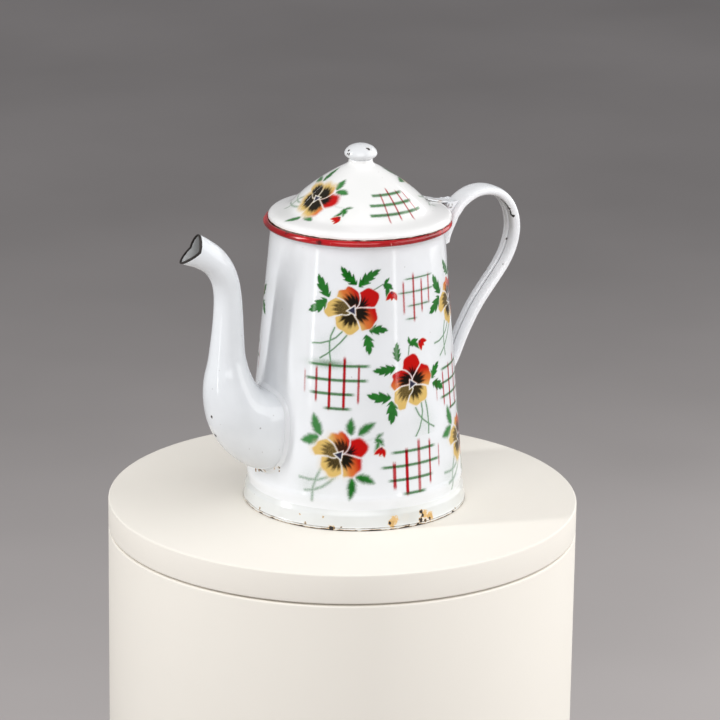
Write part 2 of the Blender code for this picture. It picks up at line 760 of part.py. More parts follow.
def make_leaf(hinge):
    """A strip lying on the brim, whose end is rolled round the pin."""
    middle = []
    for share in LEAF_BRIM_SHARES:
        radius = LID_RADIUS * share
        middle.append((LID_SET_BACK + radius, lid_height(radius) + GAP + LEAF_SHEET / 2))
    for index in range(BARREL_POINTS):
        angle = between(BARREL_START, BARREL_END, index / (BARREL_POINTS - 1))
        middle.append((PIN_X + BARREL_MIDDLE * math.cos(angle), PIN_Z + BARREL_MIDDLE * math.sin(angle)))
    bm = bmesh.new()
    points = [bm.verts.new((x, -LEAF_WIDTH / 2, z)) for x, z in middle]
    edges = [bm.edges.new(pair) for pair in zip(points, points[1:])]
    moved = bmesh.ops.extrude_edge_only(bm, edges=edges)["geom"]
    across = Vector((0.0, LEAF_WIDTH, 0.0))
    bmesh.ops.translate(bm, verts=[v for v in moved if isinstance(v, bmesh.types.BMVert)], vec=across)
    mesh = bpy.data.meshes.new("hinge_leaf")
    bm.to_mesh(mesh)
    bm.free()
    leaf = add_object("hinge_leaf", mesh, white_enamel("hinge_leaf"))
    thicken(leaf, LEAF_SHEET, 0)
    settle(leaf)
    on_lid(leaf, hinge)


def make_bracket():
    """A saddle on the strap whose two ears carry the pin."""
    outline = [
        (-BRACKET_LENGTH / 2, -BRACKET_BASE),
        (BRACKET_LENGTH / 2, -BRACKET_BASE),
        (BRACKET_LENGTH / 2, BRACKET_SHEET - BRACKET_BASE),
    ]
    for index in range(EAR_POINTS):
        angle = math.pi * index / (EAR_POINTS - 1)
        outline.append((EAR_RADIUS * math.cos(angle), EAR_RADIUS * math.sin(angle)))
    outline.append((-BRACKET_LENGTH / 2, BRACKET_SHEET - BRACKET_BASE))
    bm = bmesh.new()
    near = [bm.verts.new((along, -EAR_OUTSIDE, up)) for along, up in outline]
    moved = bmesh.ops.extrude_face_region(bm, geom=[bm.faces.new(near)])["geom"]
    across = Vector((0.0, 2 * EAR_OUTSIDE, 0.0))
    bmesh.ops.translate(bm, verts=[v for v in moved if isinstance(v, bmesh.types.BMVert)], vec=across)
    bmesh.ops.recalc_face_normals(bm, faces=bm.faces)
    mesh = bpy.data.meshes.new("hinge_bracket")
    bm.to_mesh(mesh)
    bm.free()
    bracket = add_object("hinge_bracket", mesh, white_enamel("hinge_bracket"), pot)

    room = bmesh.new()
    height = BRACKET_BASE + EAR_RADIUS + CUT_OVERRUN
    floor = BRACKET_SHEET - BRACKET_BASE
    size = Matrix.Diagonal((BRACKET_LENGTH + CUT_OVERRUN, 2 * EAR_INSIDE, height, 1.0))
    bmesh.ops.create_cube(room, size=1.0, matrix=Matrix.Translation((0.0, 0.0, floor + height / 2)) @ size)
    cut(bracket, add_cutter("bracket_room", room))
    hole = bmesh.new()
    bmesh.ops.create_cone(
        hole, cap_ends=True, segments=PIN_STEPS, radius1=PIN_RADIUS + PIN_PLAY, radius2=PIN_RADIUS + PIN_PLAY,
        depth=2 * (EAR_OUTSIDE + CUT_OVERRUN), matrix=Matrix.Rotation(math.radians(90), 4, 'X'))
    cut(bracket, add_cutter("bracket_hole", hole))
    settle(bracket)
    bracket.location = (PIN_X, 0.0, PIN_Z)
    bracket.rotation_euler = (0.0, -HINGE_TILT, 0.0)


def make_pin():
    reach = EAR_OUTSIDE + GAP
    end = reach + PIN_HEAD_HEIGHT
    outline = [
        (0.0, end),
        (PIN_HEAD_RADIUS, end),
        (PIN_HEAD_RADIUS, reach),
        (PIN_RADIUS, reach),
        (PIN_RADIUS, -reach),
        (PIN_HEAD_RADIUS, -reach),
        (PIN_HEAD_RADIUS, -end),
        (0.0, -end),
    ]
    pin = turned("hinge_pin", outline, PIN_STEPS, bare_steel("hinge_pin"), pot)
    settle(pin)
    pin.location = (PIN_X, 0.0, PIN_Z)
    pin.rotation_euler = (math.radians(90), 0.0, 0.0)


clear_scene()
parts = new_collection("enamel_coffee_pot")
cutters = new_collection("cutters")
# The pot's axis stands off the origin, so that the origin is the middle of the footprint
pot = bpy.data.objects.new("pot_axis", None)
parts.objects.link(pot)
pot.location = (FOOTPRINT_SHIFT, 0.0, 0.0)

make_body()
make_rim()
make_foot()
make_spout()
make_weld()
make_handle()
lid_hinge = lid_parent()
make_lid(lid_hinge)
make_knob(lid_hinge)
make_leaf(lid_hinge)
make_bracket()
make_pin()
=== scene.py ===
# %% [markdown]
# # An enamelled coffee pot with a gooseneck spout
#
# The pot is thin steel sheet under glossy white enamel. Its rim is a red roll, its foot a ring
# with a worn lip, and the lid swings on a small hinge at the root of the strap handle. Sprayed
# stencils, pansies and checks, go round the wall and the lid. The first cell loads the packed
# model. Every piece made here sits in that model's own place and in metres, and rides on one of
# its two bodies, the pot or the lid.

# %% Load the model that the looks are built around
import itertools
import math
from functools import partial

import bmesh
import bpy
import numpy as np
from mathutils import Matrix, Vector


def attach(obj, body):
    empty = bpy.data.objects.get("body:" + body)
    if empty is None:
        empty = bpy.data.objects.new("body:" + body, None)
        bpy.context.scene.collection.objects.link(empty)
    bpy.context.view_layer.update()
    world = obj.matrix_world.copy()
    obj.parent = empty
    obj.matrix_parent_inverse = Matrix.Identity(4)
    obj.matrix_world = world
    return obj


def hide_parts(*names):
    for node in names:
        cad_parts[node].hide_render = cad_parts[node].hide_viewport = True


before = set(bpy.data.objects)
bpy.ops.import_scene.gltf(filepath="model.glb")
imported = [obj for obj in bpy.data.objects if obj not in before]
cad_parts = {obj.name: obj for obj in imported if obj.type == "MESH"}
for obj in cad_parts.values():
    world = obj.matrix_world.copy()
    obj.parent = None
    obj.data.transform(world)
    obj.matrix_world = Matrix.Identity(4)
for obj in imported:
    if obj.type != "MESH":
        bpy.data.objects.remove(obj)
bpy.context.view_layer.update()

# %% [markdown]
# ## Sizes
# The sizes are the real pot's, in metres. Heights run up from the table and radii run out from
# the pot's axis. The axis stands a little off the origin, because the origin is the middle of
# the footprint, from the spout's tip to the handle.

# %% The sizes that more than one piece needs
AXIS_X = 0.003978
SHEET = 0.0010
GAP = 0.0003
WALL_TOP_RADIUS = 0.0549
WALL_FOOT_RADIUS = 0.0684
WALL_TOP_HEIGHT = 0.1770
WALL_FOOT_HEIGHT = 0.0225
SKIRT_RADIUS = 0.0682
RIM_RADIUS = 0.0574
RIM_HEIGHT = 0.1818
BEAD_RADIUS = 0.0020
LID_SET_BACK = 0.0015
LID_RADIUS = 0.0577
LID_BASE = 0.1841
LID_RISE = 0.0378
MM = 0.001
FULL_TURN = 2 * math.pi
WALL_SLOPE = (WALL_FOOT_RADIUS - WALL_TOP_RADIUS) / (WALL_TOP_HEIGHT - WALL_FOOT_HEIGHT)


def wall_radius(height):
    """Outer radius of the conical wall at a height."""
    return WALL_TOP_RADIUS + (WALL_TOP_HEIGHT - height) * WALL_SLOPE


print("the wall leans in by", round(math.degrees(math.atan(WALL_SLOPE)), 1), "degrees")

# %% [markdown]
# ## Camera
# The picture was taken from about 2.4 m with a long lens, a little above the lid, and tilted by
# under a degree. A long lens far away keeps the ellipses of the rim and the foot nearly alike,
# which a near camera would not.

# %% Camera: where it stands and what it aims at
CAMERA_AZIMUTH = math.radians(-28.0)
CAMERA_ELEVATION = math.radians(16.55)
CAMERA_ROLL = math.radians(0.78)
CAMERA_DISTANCE = 2.4
CAMERA_AIM = Vector((AXIS_X, 0.0, 0.11))
FOCAL_PIXELS = 3790.0
FRAME_PIXELS = 720.0
SENSOR_WIDTH = 36.0
# Where the aim point stands in the frame, right of and above its middle, in pixels
AIM_PIXELS = (-3.7, 29.9)


def link(name, data):
    """A new object in the scene, over its mesh, light or camera."""
    made = bpy.data.objects.new(name, data)
    bpy.context.scene.collection.objects.link(made)
    return made


def outward(azimuth, elevation):
    """The unit vector that points out at an azimuth and an elevation, both in radians."""
    flat = math.cos(elevation)
    return Vector((math.cos(azimuth) * flat, math.sin(azimuth) * flat, math.sin(elevation)))


def place_camera():
    """The camera, rolled about its view and turned a little off its aim."""
    toward = -outward(CAMERA_AZIMUTH - math.pi / 2, CAMERA_ELEVATION)
    level = Vector((math.cos(CAMERA_AZIMUTH), math.sin(CAMERA_AZIMUTH), 0.0))
    roll = Matrix.Rotation(-CAMERA_ROLL, 3, toward)
    right, up = roll @ level, roll @ level.cross(toward)
    place = CAMERA_AIM - toward * CAMERA_DISTANCE
    # The turn takes the aim point out of the middle of the frame
    forward = (toward - (right * AIM_PIXELS[0] + up * AIM_PIXELS[1]) / FOCAL_PIXELS).normalized()
    side = forward.cross(up).normalized()
    data = bpy.data.cameras.new("camera")
    data.sensor_width = SENSOR_WIDTH
    data.lens = FOCAL_PIXELS * SENSOR_WIDTH / FRAME_PIXELS
    camera = link("camera", data)
    turned = Matrix((side, side.cross(forward), -forward)).transposed().to_4x4()
    camera.matrix_world = Matrix.Translation(place) @ turned
    bpy.context.scene.camera = camera
    print("lens", round(data.lens, 1), "mm at", [round(v, 3) for v in place])


place_camera()
bpy.context.scene.view_settings.view_transform = 'Standard'

# %% [markdown]
# ## Building surfaces from grids of points
# Sheet metal ware is made of few kinds of surface: things turned about an axis, and skins drawn
# along a path. Both are a grid of points with four-sided faces between them, so one helper
# makes the mesh and the others only say where the points are. A sheet's section is a line with
# its offset beside it and a half round at each end, as rolled and enamelled edges have.

# %% A mesh from a grid of points
MERGE_DISTANCE = 0.001 * MM
SHARP_ANGLE = math.radians(50)


def four_sided(index):
    """The corners of the faces between the rows and columns of a grid of point numbers."""
    corners = [index[:-1, :-1], index[:-1, 1:], index[1:, 1:], index[1:, :-1]]
    return np.stack(corners, axis=-1).reshape(-1, 4)


def shade(mesh):
    """Smooth shading, broken only where the surface turns sharply."""
    mesh.shade_smooth()
    mesh.set_sharp_from_angle(angle=SHARP_ANGLE)


def skin(name, grid, close_rows=False, caps=False, marks=None):
    """A piece over a grid of points, rows by columns, in metres about the pot's axis.

    Its columns close on themselves. Marks are numbers stored on the points, by name, for the
    materials to read.
    """
    rows, columns = grid.shape[:2]
    index = np.arange(rows * columns).reshape(rows, columns)
    index = np.vstack([index, index[:1]]) if close_rows else index
    index = np.hstack([index, index[:, :1]])
    faces = four_sided(index).tolist()
    if caps:
        faces += [index[0, :columns].tolist(), index[-1, :columns].tolist()]
    points = grid.reshape(-1, 3) + (AXIS_X, 0.0, 0.0)
    mesh = bpy.data.meshes.new(name)
    mesh.from_pydata(points.tolist(), [], faces)
    for title, values in (marks or {}).items():
        mesh.attributes.new(title, 'FLOAT', 'POINT').data.foreach_set("value", np.ravel(values))
    bm = bmesh.new()
    bm.from_mesh(mesh)
    bmesh.ops.remove_doubles(bm, verts=bm.verts, dist=MERGE_DISTANCE)
    bmesh.ops.recalc_face_normals(bm, faces=bm.faces)
    bm.to_mesh(mesh)
    bm.free()
    shade(mesh)
    return link(name, mesh)


def spin(name, outline, steps=192, set_back=0.0, closed=True):
    """A piece turned about the pot's axis from an outline of (radius, height) rows."""
    outline = np.array(outline, float)
    angle = np.linspace(0.0, FULL_TURN, steps, endpoint=False)
    radius, height = outline[:, :1], outline[:, 1:]
    grid = np.stack([radius * np.cos(angle), radius * np.sin(angle), height + 0.0 * angle], axis=-1)
    return skin(name, grid + (set_back, 0.0, 0.0), close_rows=closed)


# %% Lines for sections: smoothing, rounding and thickness
def unit(vectors):
    """Vectors of length 1."""
    return vectors / np.linalg.norm(vectors, axis=-1, keepdims=True)


def left_of(ways):
    """Flat unit vectors turned a quarter to their left."""
    return np.stack([-ways[:, 1], ways[:, 0]], axis=1)


def bow(start, middle, end, t):
    """Points of a curve that leaves its start towards the middle point and comes to its end."""
    return (1 - t) ** 2 * start + 2 * t * (1 - t) * middle + t ** 2 * end


def quarter_round(radius, height, fillet, steps):
    """Rows of radius and height on a rounded edge, from its top round to its side."""
    swing = np.linspace(math.pi / 2, 0.0, steps)
    return np.stack([radius - fillet * (1 - np.cos(swing)), height - fillet * (1 - np.sin(swing))], axis=1)


def half_round(start, end, out, swing):
    """Points on a half round between two points, bulging by the vector out."""
    return (start + end) / 2 + (start - end) / 2 * np.cos(swing) + out * np.sin(swing)


def smooth_line(points, steps):
    """Rows of numbers on a smooth curve through the given rows."""
    rows = np.array(points, float)
    padded = np.vstack([rows[:1], rows, rows[-1:]])
    t = np.linspace(0.0, 1.0, steps, endpoint=False)[:, None]
    pieces = []
    for a, b, c, d in zip(padded, padded[1:], padded[2:], padded[3:]):
        bend = (2 * a - 5 * b + 4 * c - d) * t ** 2 + (3 * b - a - 3 * c + d) * t ** 3
        pieces.append(b + ((c - a) * t + bend) / 2)
    return np.vstack(pieces + [rows[-1:]])


def rounded(corners, radius, steps=5):
    """A closed outline whose corners are rounded, by at most a third of the sides beside them."""
    corners = np.array(corners, float)
    outline = []
    for before, corner, after in zip(np.roll(corners, 1, 0), corners, np.roll(corners, -1, 0)):
        back, ahead = before - corner, after - corner
        start = corner + back * min(1 / 3, radius / np.linalg.norm(back))
        end = corner + ahead * min(1 / 3, radius / np.linalg.norm(ahead))
        outline.append(bow(start, corner, end, np.linspace(0.0, 1.0, steps)[:, None]))
    return np.vstack(outline)


def sheet_section(line, sheet, tip_steps=6):
    """A sheet's closed section: its outer line, running down the outside, and its inner one."""
    line = np.array(line, float)
    ahead = unit(np.gradient(line, axis=0))
    inner = line - left_of(ahead) * sheet
    swing = np.linspace(0.0, math.pi, tip_steps + 1)[1:-1, None]
    last_tip = half_round(line[-1], inner[-1], ahead[-1] * sheet / 2, swing)
    first_tip = half_round(inner[0], line[0], -ahead[0] * sheet / 2, swing)
    return np.vstack([line, last_tip, inner[::-1], first_tip])


print("grid helpers ready")

# %% [markdown]
# ## Stage and light
# The pot stands on a plain pale table in a plain grey room. Glossy enamel shows its lights as
# clearly as its own colour. In the picture two narrow upright streaks run down the wall, and the
# gooseneck throws a grey band on the wall behind it. So two small upright strips stand low at
# the sides for the streaks. A tall narrow light at the left casts the band, and large soft boxes
# at the right, behind and in front keep the rest even.

# %% Helpers for shader nodes
def feed(tree, socket, value):
    """Sets a socket to a value, or links it to another node's output."""
    if isinstance(value, bpy.types.NodeSocket):
        tree.links.new(value, socket)
    else:
        socket.default_value = value


def put(tree, kind, inputs=None, **settings):
    """A new node. Inputs are its sockets' values, and settings its own choices."""
    node = tree.nodes.new(kind)
    for name, value in settings.items():
        setattr(node, name, value)
    for name, value in (inputs or {}).items():
        feed(tree, node.inputs[name], value)
    return node


def mixed(tree, share, first, second):
    """A blend of two colours."""
    node = tree.nodes.new('ShaderNodeMix')
    node.data_type = 'RGBA'
    for index, value in ((0, share), (6, first), (7, second)):
        feed(tree, node.inputs[index], value)
    return node.outputs[2]


def maths(tree, operation, *values):
    """One sum on numbers."""
    node = tree.nodes.new('ShaderNodeMath')
    node.operation = operation
    for socket, value in zip(node.inputs, values):
        feed(tree, socket, value)
    return node.outputs[0]


def ramp(tree, value, start, end):
    """0 at the start value, 1 at the end value, and a soft slope between."""
    inputs = {"Value": value, "From Min": start, "From Max": end}
    return put(tree, 'ShaderNodeMapRange', inputs, interpolation_type='SMOOTHSTEP').outputs["Result"]


def noise(tree, place, scale, detail=2.0):
    """Soft random patches, about 1 / scale metres across."""
    inputs = {"Vector": place, "Scale": scale, "Detail": detail}
    return put(tree, 'ShaderNodeTexNoise', inputs).outputs["Fac"]


def jitter(tree, place, scale, detail, spread):
    """Noise about 0, with this much from its lowest to its highest."""
    return maths(tree, 'MULTIPLY_ADD', noise(tree, place, scale, detail), spread, -spread / 2)


def patches(tree, place, scale, detail, fade, strength=1.0):
    """A mask of random patches. Fade is the noise where they start and where they are full."""
    mask = ramp(tree, noise(tree, place, scale, detail), *fade)
    return mask if strength == 1.0 else maths(tree, 'MULTIPLY', mask, strength)


def stored(tree, name):
    """A number stored on a piece's points."""
    return put(tree, 'ShaderNodeAttribute', attribute_name=name).outputs["Fac"]


def colour(red, green, blue):
    """A colour from the 0 to 255 numbers of a screen, as Blender's linear light."""
    linear = [((v / 255 + 0.055) / 1.055) ** 2.4 if v > 10 else v / 255 / 12.92 for v in (red, green, blue)]
    return (*linear, 1.0)


def plain_material(name):
    """An empty material, its tree, its shader and the place in the pot's own frame."""
    material = bpy.data.materials.new(name)
    material.use_nodes = True
    tree = material.node_tree
    place = put(tree, 'ShaderNodeTexCoord').outputs["Object"]
    return material, tree, tree.nodes["Principled BSDF"], place


print("node helpers ready")

# %% Table and room
TABLE_RADIUS = 0.150
TABLE_PLATE = 0.019
TABLE_SEAM = 0.0012
TABLE_EDGE = 0.0012
# The pot doesn't stand quite in the middle of its table
TABLE_SHIFT = Matrix.Translation((-0.0065, 0.0035, 0.0))
TABLE_CLOUDS = 9.0
ROOM_DROP = 0.45
ROOM_RADIUS = 6.0
ROOM_PLATE = 0.05
ROOM_CLOUDS = 1.4
STAGE_ROUGHNESS = 0.75
PALE, PALE_STAIN = colour(240, 235, 226), colour(235, 230, 220)
GREY, GREY_STAIN = colour(204, 198, 196), colour(160, 155, 153)


def stage_disc(name, radius, top, depth, base, stain, scale):
    """A round slab with a soft edge, for the stage. Stain is its second colour, in soft clouds."""
    rim = quarter_round(radius, top, TABLE_EDGE, 6)
    under = rim[::-1] * (1, -1) + (0.0, 2 * top - depth)
    slab = spin(name, np.vstack([[(0.0, top)], rim, under, [(0.0, top - depth)]]), 256, closed=False)
    slab.data.transform(TABLE_SHIFT)
    material, tree, shader, place = plain_material(name)
    feed(tree, shader.inputs["Base Color"], mixed(tree, noise(tree, place, scale, 3.0), base, stain))
    shader.inputs["Roughness"].default_value = STAGE_ROUGHNESS
    slab.data.materials.append(material)


stand_top = -TABLE_PLATE - TABLE_SEAM
stage_disc("table", TABLE_RADIUS, 0.0, TABLE_PLATE, PALE, PALE_STAIN, TABLE_CLOUDS)
stage_disc("table_stand", TABLE_RADIUS, stand_top, ROOM_DROP + stand_top, PALE, PALE_STAIN, TABLE_CLOUDS)
stage_disc("room_floor", ROOM_RADIUS, -ROOM_DROP, ROOM_PLATE, GREY, GREY_STAIN, ROOM_CLOUDS)
print("table, its stand and the room made")

# %% Lights
LIGHT_TARGET = Vector((AXIS_X, 0.0, 0.10))
# Degrees round from the camera's direction, counter-clockwise from above, degrees up, distance,
# width and height in metres, and watts
LIGHTS = {
    "key_left": (-76.0, 24.0, 1.2, 0.07, 0.80, 7.6),
    "key_right": (80.0, 27.0, 1.7, 1.70, 1.50, 19.5),
    "back_right": (124.0, 14.0, 1.6, 1.10, 1.30, 9.4),
    "front_high": (-2.0, 34.0, 1.6, 1.4, 1.2, 13.9),
    "strip_left": (-51.6, 1.0, 1.0, 0.06, 0.34, 0.38),
    "strip_right": (47.0, 1.0, 1.0, 0.06, 0.34, 0.29),
}
ROOM_LIGHT = colour(205, 205, 208)
ROOM_STRENGTH = 0.45


def soft_box(name, side, rise, distance, width, tall, power):
    """An area light that faces the pot."""
    out = outward(CAMERA_AZIMUTH - math.pi / 2 + math.radians(side), math.radians(rise))
    data = bpy.data.lights.new(name, 'AREA')
    data.shape = 'RECTANGLE'
    data.size = width
    data.size_y = tall
    data.energy = power
    light = link(name, data)
    facing = out.to_track_quat('Z', 'Y').to_matrix().to_4x4()
    light.matrix_world = Matrix.Translation(LIGHT_TARGET + out * distance) @ facing
    return light


lights = {name: soft_box(name, *row) for name, row in LIGHTS.items()}
world = bpy.data.worlds.new("room")
bpy.context.scene.world = world
world.use_nodes = True
background = world.node_tree.nodes["Background"].inputs
background["Color"].default_value = ROOM_LIGHT
background["Strength"].default_value = ROOM_STRENGTH
print("lights", sorted(lights))

# %% [markdown]
# ## Enamel
# Enamel is glass, fused on the steel in a few dips. It is never quite even: its surface waves a
# little like orange peel, its white clouds slightly, and a dark speck of iron shows here and
# there. Where it is knocked it chips off in a ragged spot, down to black iron with a rusty rim,
# and it wears thin along sharp edges. One picture of each effect could be painted on, but a
# picture has seams and a fixed scale. Noise in the pot's own frame has neither, and it runs on
# from one piece to the next, so each effect is a node group that every material places with its
# own values.

# %% How a node group is made and used
def new_group(name, inputs, outputs):
    """A node group. Inputs are names with a number or a place, outputs are names of numbers."""
    group = bpy.data.node_groups.new(name, 'ShaderNodeTree')
    for title, value in inputs.items():
        kind = 'NodeSocketFloat' if isinstance(value, float) else 'NodeSocketVector'
        socket = group.interface.new_socket(name=title, in_out='INPUT', socket_type=kind)
        socket.default_value = value
    for title in outputs:
        group.interface.new_socket(name=title, in_out='OUTPUT', socket_type='NodeSocketFloat')
    return group, put(group, 'NodeGroupInput').outputs, put(group, 'NodeGroupOutput').inputs


def use(tree, group, **values):
    """Places a group in a tree and gives its outputs."""
    node = tree.nodes.new('ShaderNodeGroup')
    node.node_tree = group
    for title, value in values.items():
        feed(tree, node.inputs[title], value)
    return node.outputs


# %% Glaze: waves, clouds and specks
# A fade is two values, where an effect starts and where it is full. Patches are given by their
# scale, their detail, their fade and, where it isn't 1, their strength
WAVE_SCALE = 110.0
PEEL_SCALE = 800.0
PEEL_SHARE = 0.12
CLOUDS = (25.0, 3.0, (0.35, 0.68))
SPECK_SCALE = 260.0
SPECK_FADE = (0.10, 0.04)
# A speck shows in one cell of about fifteen
SPECK_CHOICE = 0.93


def make_glaze():
    group, given, gives = new_group("glaze", {"Position": (0, 0, 0)}, ["Height", "Shade", "Specks"])
    waves = noise(group, given["Position"], WAVE_SCALE)
    peel = noise(group, given["Position"], PEEL_SCALE, 1.0)
    feed(group, gives["Height"], maths(group, 'MULTIPLY_ADD', peel, PEEL_SHARE, waves))
    feed(group, gives["Shade"], patches(group, given["Position"], *CLOUDS))
    cells = put(group, 'ShaderNodeTexVoronoi', {"Vector": given["Position"], "Scale": SPECK_SCALE}).outputs
    chance = put(group, 'ShaderNodeSeparateColor', {"Color": cells["Color"]}).outputs["Red"]
    chosen = ramp(group, chance, SPECK_CHOICE, SPECK_CHOICE + 0.01)
    dot = ramp(group, cells["Distance"], *SPECK_FADE)
    feed(group, gives["Specks"], maths(group, 'MULTIPLY', dot, chosen))
    return group


glaze = make_glaze()
print("glaze has", len(glaze.nodes), "nodes")

# %% Chip: bare iron in a ragged spot, with rust round it
CHIP_GRAIN = 800.0
CHIP_RAGGEDNESS = 2.4
# In shares of the chip's radius
CHIP_BARE_FADE = (1.0, 0.8)
CHIP_RUST_FADE = (1.6, 0.8)


def make_chip():
    inputs = {"Position": (0, 0, 0), "Centre": (0, 0, 0), "Radius": 1.0 * MM, "Iron": 1.0, "Stain": 1.0}
    group, given, gives = new_group("chip", inputs, ["Bare", "Rust"])
    ends = {0: given["Position"], 1: given["Centre"]}
    reach = put(group, 'ShaderNodeVectorMath', ends, operation='DISTANCE').outputs["Value"]
    share = maths(group, 'DIVIDE', reach, given["Radius"])
    outer = maths(group, 'ADD', share, jitter(group, given["Position"], CHIP_GRAIN, 4.0, CHIP_RAGGEDNESS))
    bare, rust = ramp(group, outer, *CHIP_BARE_FADE), ramp(group, outer, *CHIP_RUST_FADE)
    feed(group, gives["Bare"], maths(group, 'MULTIPLY', bare, given["Iron"]))
    feed(group, gives["Rust"], maths(group, 'MULTIPLY', rust, given["Stain"]))
    return group


chip = make_chip()
print("chip has", len(chip.nodes), "nodes")

# %% Worn edge: bare iron in a broken line at one height
WEAR_GRAIN = 170.0
WEAR_RAGGEDNESS = 3.6
# In shares of the worn edge's reach
WEAR_BARE_FADE = (0.75, 0.55)
WEAR_RUST_FADE = (1.25, 0.55)


def make_worn_edge():
    inputs = {"Position": (0, 0, 0), "Edge": 0.0, "Reach": 0.5 * MM}
    group, given, gives = new_group("worn_edge", inputs, ["Bare", "Rust"])
    level = put(group, 'ShaderNodeSeparateXYZ', {0: given["Position"]}).outputs["Z"]
    away = maths(group, 'ABSOLUTE', maths(group, 'SUBTRACT', level, given["Edge"]))
    share = maths(group, 'DIVIDE', away, given["Reach"])
    outer = maths(group, 'ADD', share, jitter(group, given["Position"], WEAR_GRAIN, 4.0, WEAR_RAGGEDNESS))
    feed(group, gives["Bare"], ramp(group, outer, *WEAR_BARE_FADE))
    feed(group, gives["Rust"], ramp(group, outer, *WEAR_RUST_FADE))
    return group


worn_edge = make_worn_edge()
print("worn_edge has", len(worn_edge.nodes), "nodes")

# %% [markdown]
# The enamel itself is one function, because the white and the red differ only in their values.
# It starts from the glaze's colour, lays a stencil's colours over it where a piece has one, and
# then takes away what is chipped, worn or stained. The same masks that paint the iron black also
# make it rough and let it sink below the glass.

# %% The enamel material
WHITE = colour(233, 235, 238)
WHITE_CLOUD = colour(227, 229, 231)
SPECK = colour(120, 108, 96)
IRON = colour(34, 28, 25)
RUST = colour(112, 62, 26)
OCHRE = colour(218, 178, 112)
GLAZE_WAVE = 0.05 * MM
CHIP_DEPTH = 0.12 * MM
SPECK_STRENGTH = 0.7
GLOSS = 0.11
# How much rougher bare iron is than the glaze
IRON_ROUGHNESS = 0.5
# Rust stains the enamel ochre, and brown where it is strongest
OCHRE_FADE = (0.02, 0.80)
RUST_FADE = (0.65, 1.0)
# The torn edge of a stored mark
TEAR_GRAIN = 700.0
TEAR_RAGGEDNESS = 1.2
TEAR_FADE = (0.35, 0.60)


def strongest(tree, values):
    """The highest of several masks."""
    values = list(values)
    high = values[0]
    for value in values[1:]:
        high = maths(tree, 'MAXIMUM', high, value)
    return high


def damage_masks(tree, place, chips, worn):
    """The masks of each chip and each worn edge."""
    spots = []
    for x, y, z, radius, iron, *stain in chips:
        rust = stain[0] if stain else 1.0
        spots.append(use(tree, chip, Position=place, Centre=(x * MM, y * MM, z * MM), Radius=radius * MM,
                         Iron=iron, Stain=rust))
    for height, reach in worn:
        spots.append(use(tree, worn_edge, Position=place, Edge=height * MM, Reach=reach * MM))
    return spots


def enamel(name, base=WHITE, cloud=WHITE_CLOUD, chips=(), worn=(), mark=None, print_over=None, gloss=GLOSS):
    """Enamel with its damage.

    Chips are rows of x, y, z and radius in millimetres, how much iron shows, from 0 to 1, and
    where it isn't 1, how strong the rust round it is. Worn edges are rows of height and reach in
    millimetres. The mark is a stored number that is 1 where the iron is bare. Print_over lays
    other colours, such as a stencil's, over the enamel's own.
    """
    material, tree, shader, place = plain_material(name)
    coat = use(tree, glaze, Position=place)
    speck = maths(tree, 'MULTIPLY', coat["Specks"], SPECK_STRENGTH)
    tint = mixed(tree, speck, mixed(tree, coat["Shade"], base, cloud), SPECK)
    if print_over:
        tint = print_over(tree, tint, place)
    damage = damage_masks(tree, place, chips, worn)
    bare = [spot["Bare"] for spot in damage]
    if mark:
        torn = jitter(tree, place, TEAR_GRAIN, 3.0, TEAR_RAGGEDNESS)
        bare.append(ramp(tree, maths(tree, 'ADD', stored(tree, mark), torn), *TEAR_FADE))
    lift = coat["Height"]
    if damage:
        rust = strongest(tree, [spot["Rust"] for spot in damage])
        stain = mixed(tree, ramp(tree, rust, *RUST_FADE), OCHRE, RUST)
        tint = mixed(tree, ramp(tree, rust, *OCHRE_FADE), tint, stain)
    if bare:
        bare = strongest(tree, bare)
        tint = mixed(tree, bare, tint, IRON)
        feed(tree, shader.inputs["Roughness"], maths(tree, 'MULTIPLY_ADD', bare, IRON_ROUGHNESS, gloss))
        lift = maths(tree, 'MULTIPLY_ADD', bare, -CHIP_DEPTH / GLAZE_WAVE, lift)
    else:
        shader.inputs["Roughness"].default_value = gloss
    feed(tree, shader.inputs["Base Color"], tint)
    bump = put(tree, 'ShaderNodeBump', {"Height": lift, "Distance": GLAZE_WAVE})
    feed(tree, shader.inputs["Normal"], bump.outputs["Normal"])
    return material


def dress(piece, material, body, node):
    """Gives a piece its material and its body, and hides the CAD node that it stands for."""
    piece.data.materials.clear()
    piece.data.materials.append(material)
    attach(piece, body)
    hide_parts(node)
    print(piece.name, len(piece.data.polygons), "faces on", body)


print("enamel ready")

# %% [markdown]
# ## Wall
# The wall is one sheet, rolled into a cone and flared at its top, where the rim grips it. It
# turns in above the foot. A turned section with both its sides is the plainest way to make it,
# and the wall then has its true thickness when the lid is open. Behind the spout it is punched
# with a strainer, which a Boolean cuts from real round punches.

# %% Wall
WIRE_RADIUS = 0.0009
SKIRT_TOP = 0.0140
SKIRT_BOTTOM = 0.0012
TURN_BULGE = 0.0006
# The rolled turn above the foot: shares of the way down it and of its bulge
TURN_ROWS = ((0.0, 0.0), (0.28, 0.90), (0.50, 1.00), (0.74, 0.55), (1.0, 0.0))
ROOT_HEIGHT = 0.0536
ROOT_RADIUS = 0.0240
SEAT_RADIUS = wall_radius(ROOT_HEIGHT)
PUNCH_RADIUS = 0.0017
PUNCH_LENGTH = 0.012
PUNCH_PITCH = 0.0064
PUNCH_RINGS = 2


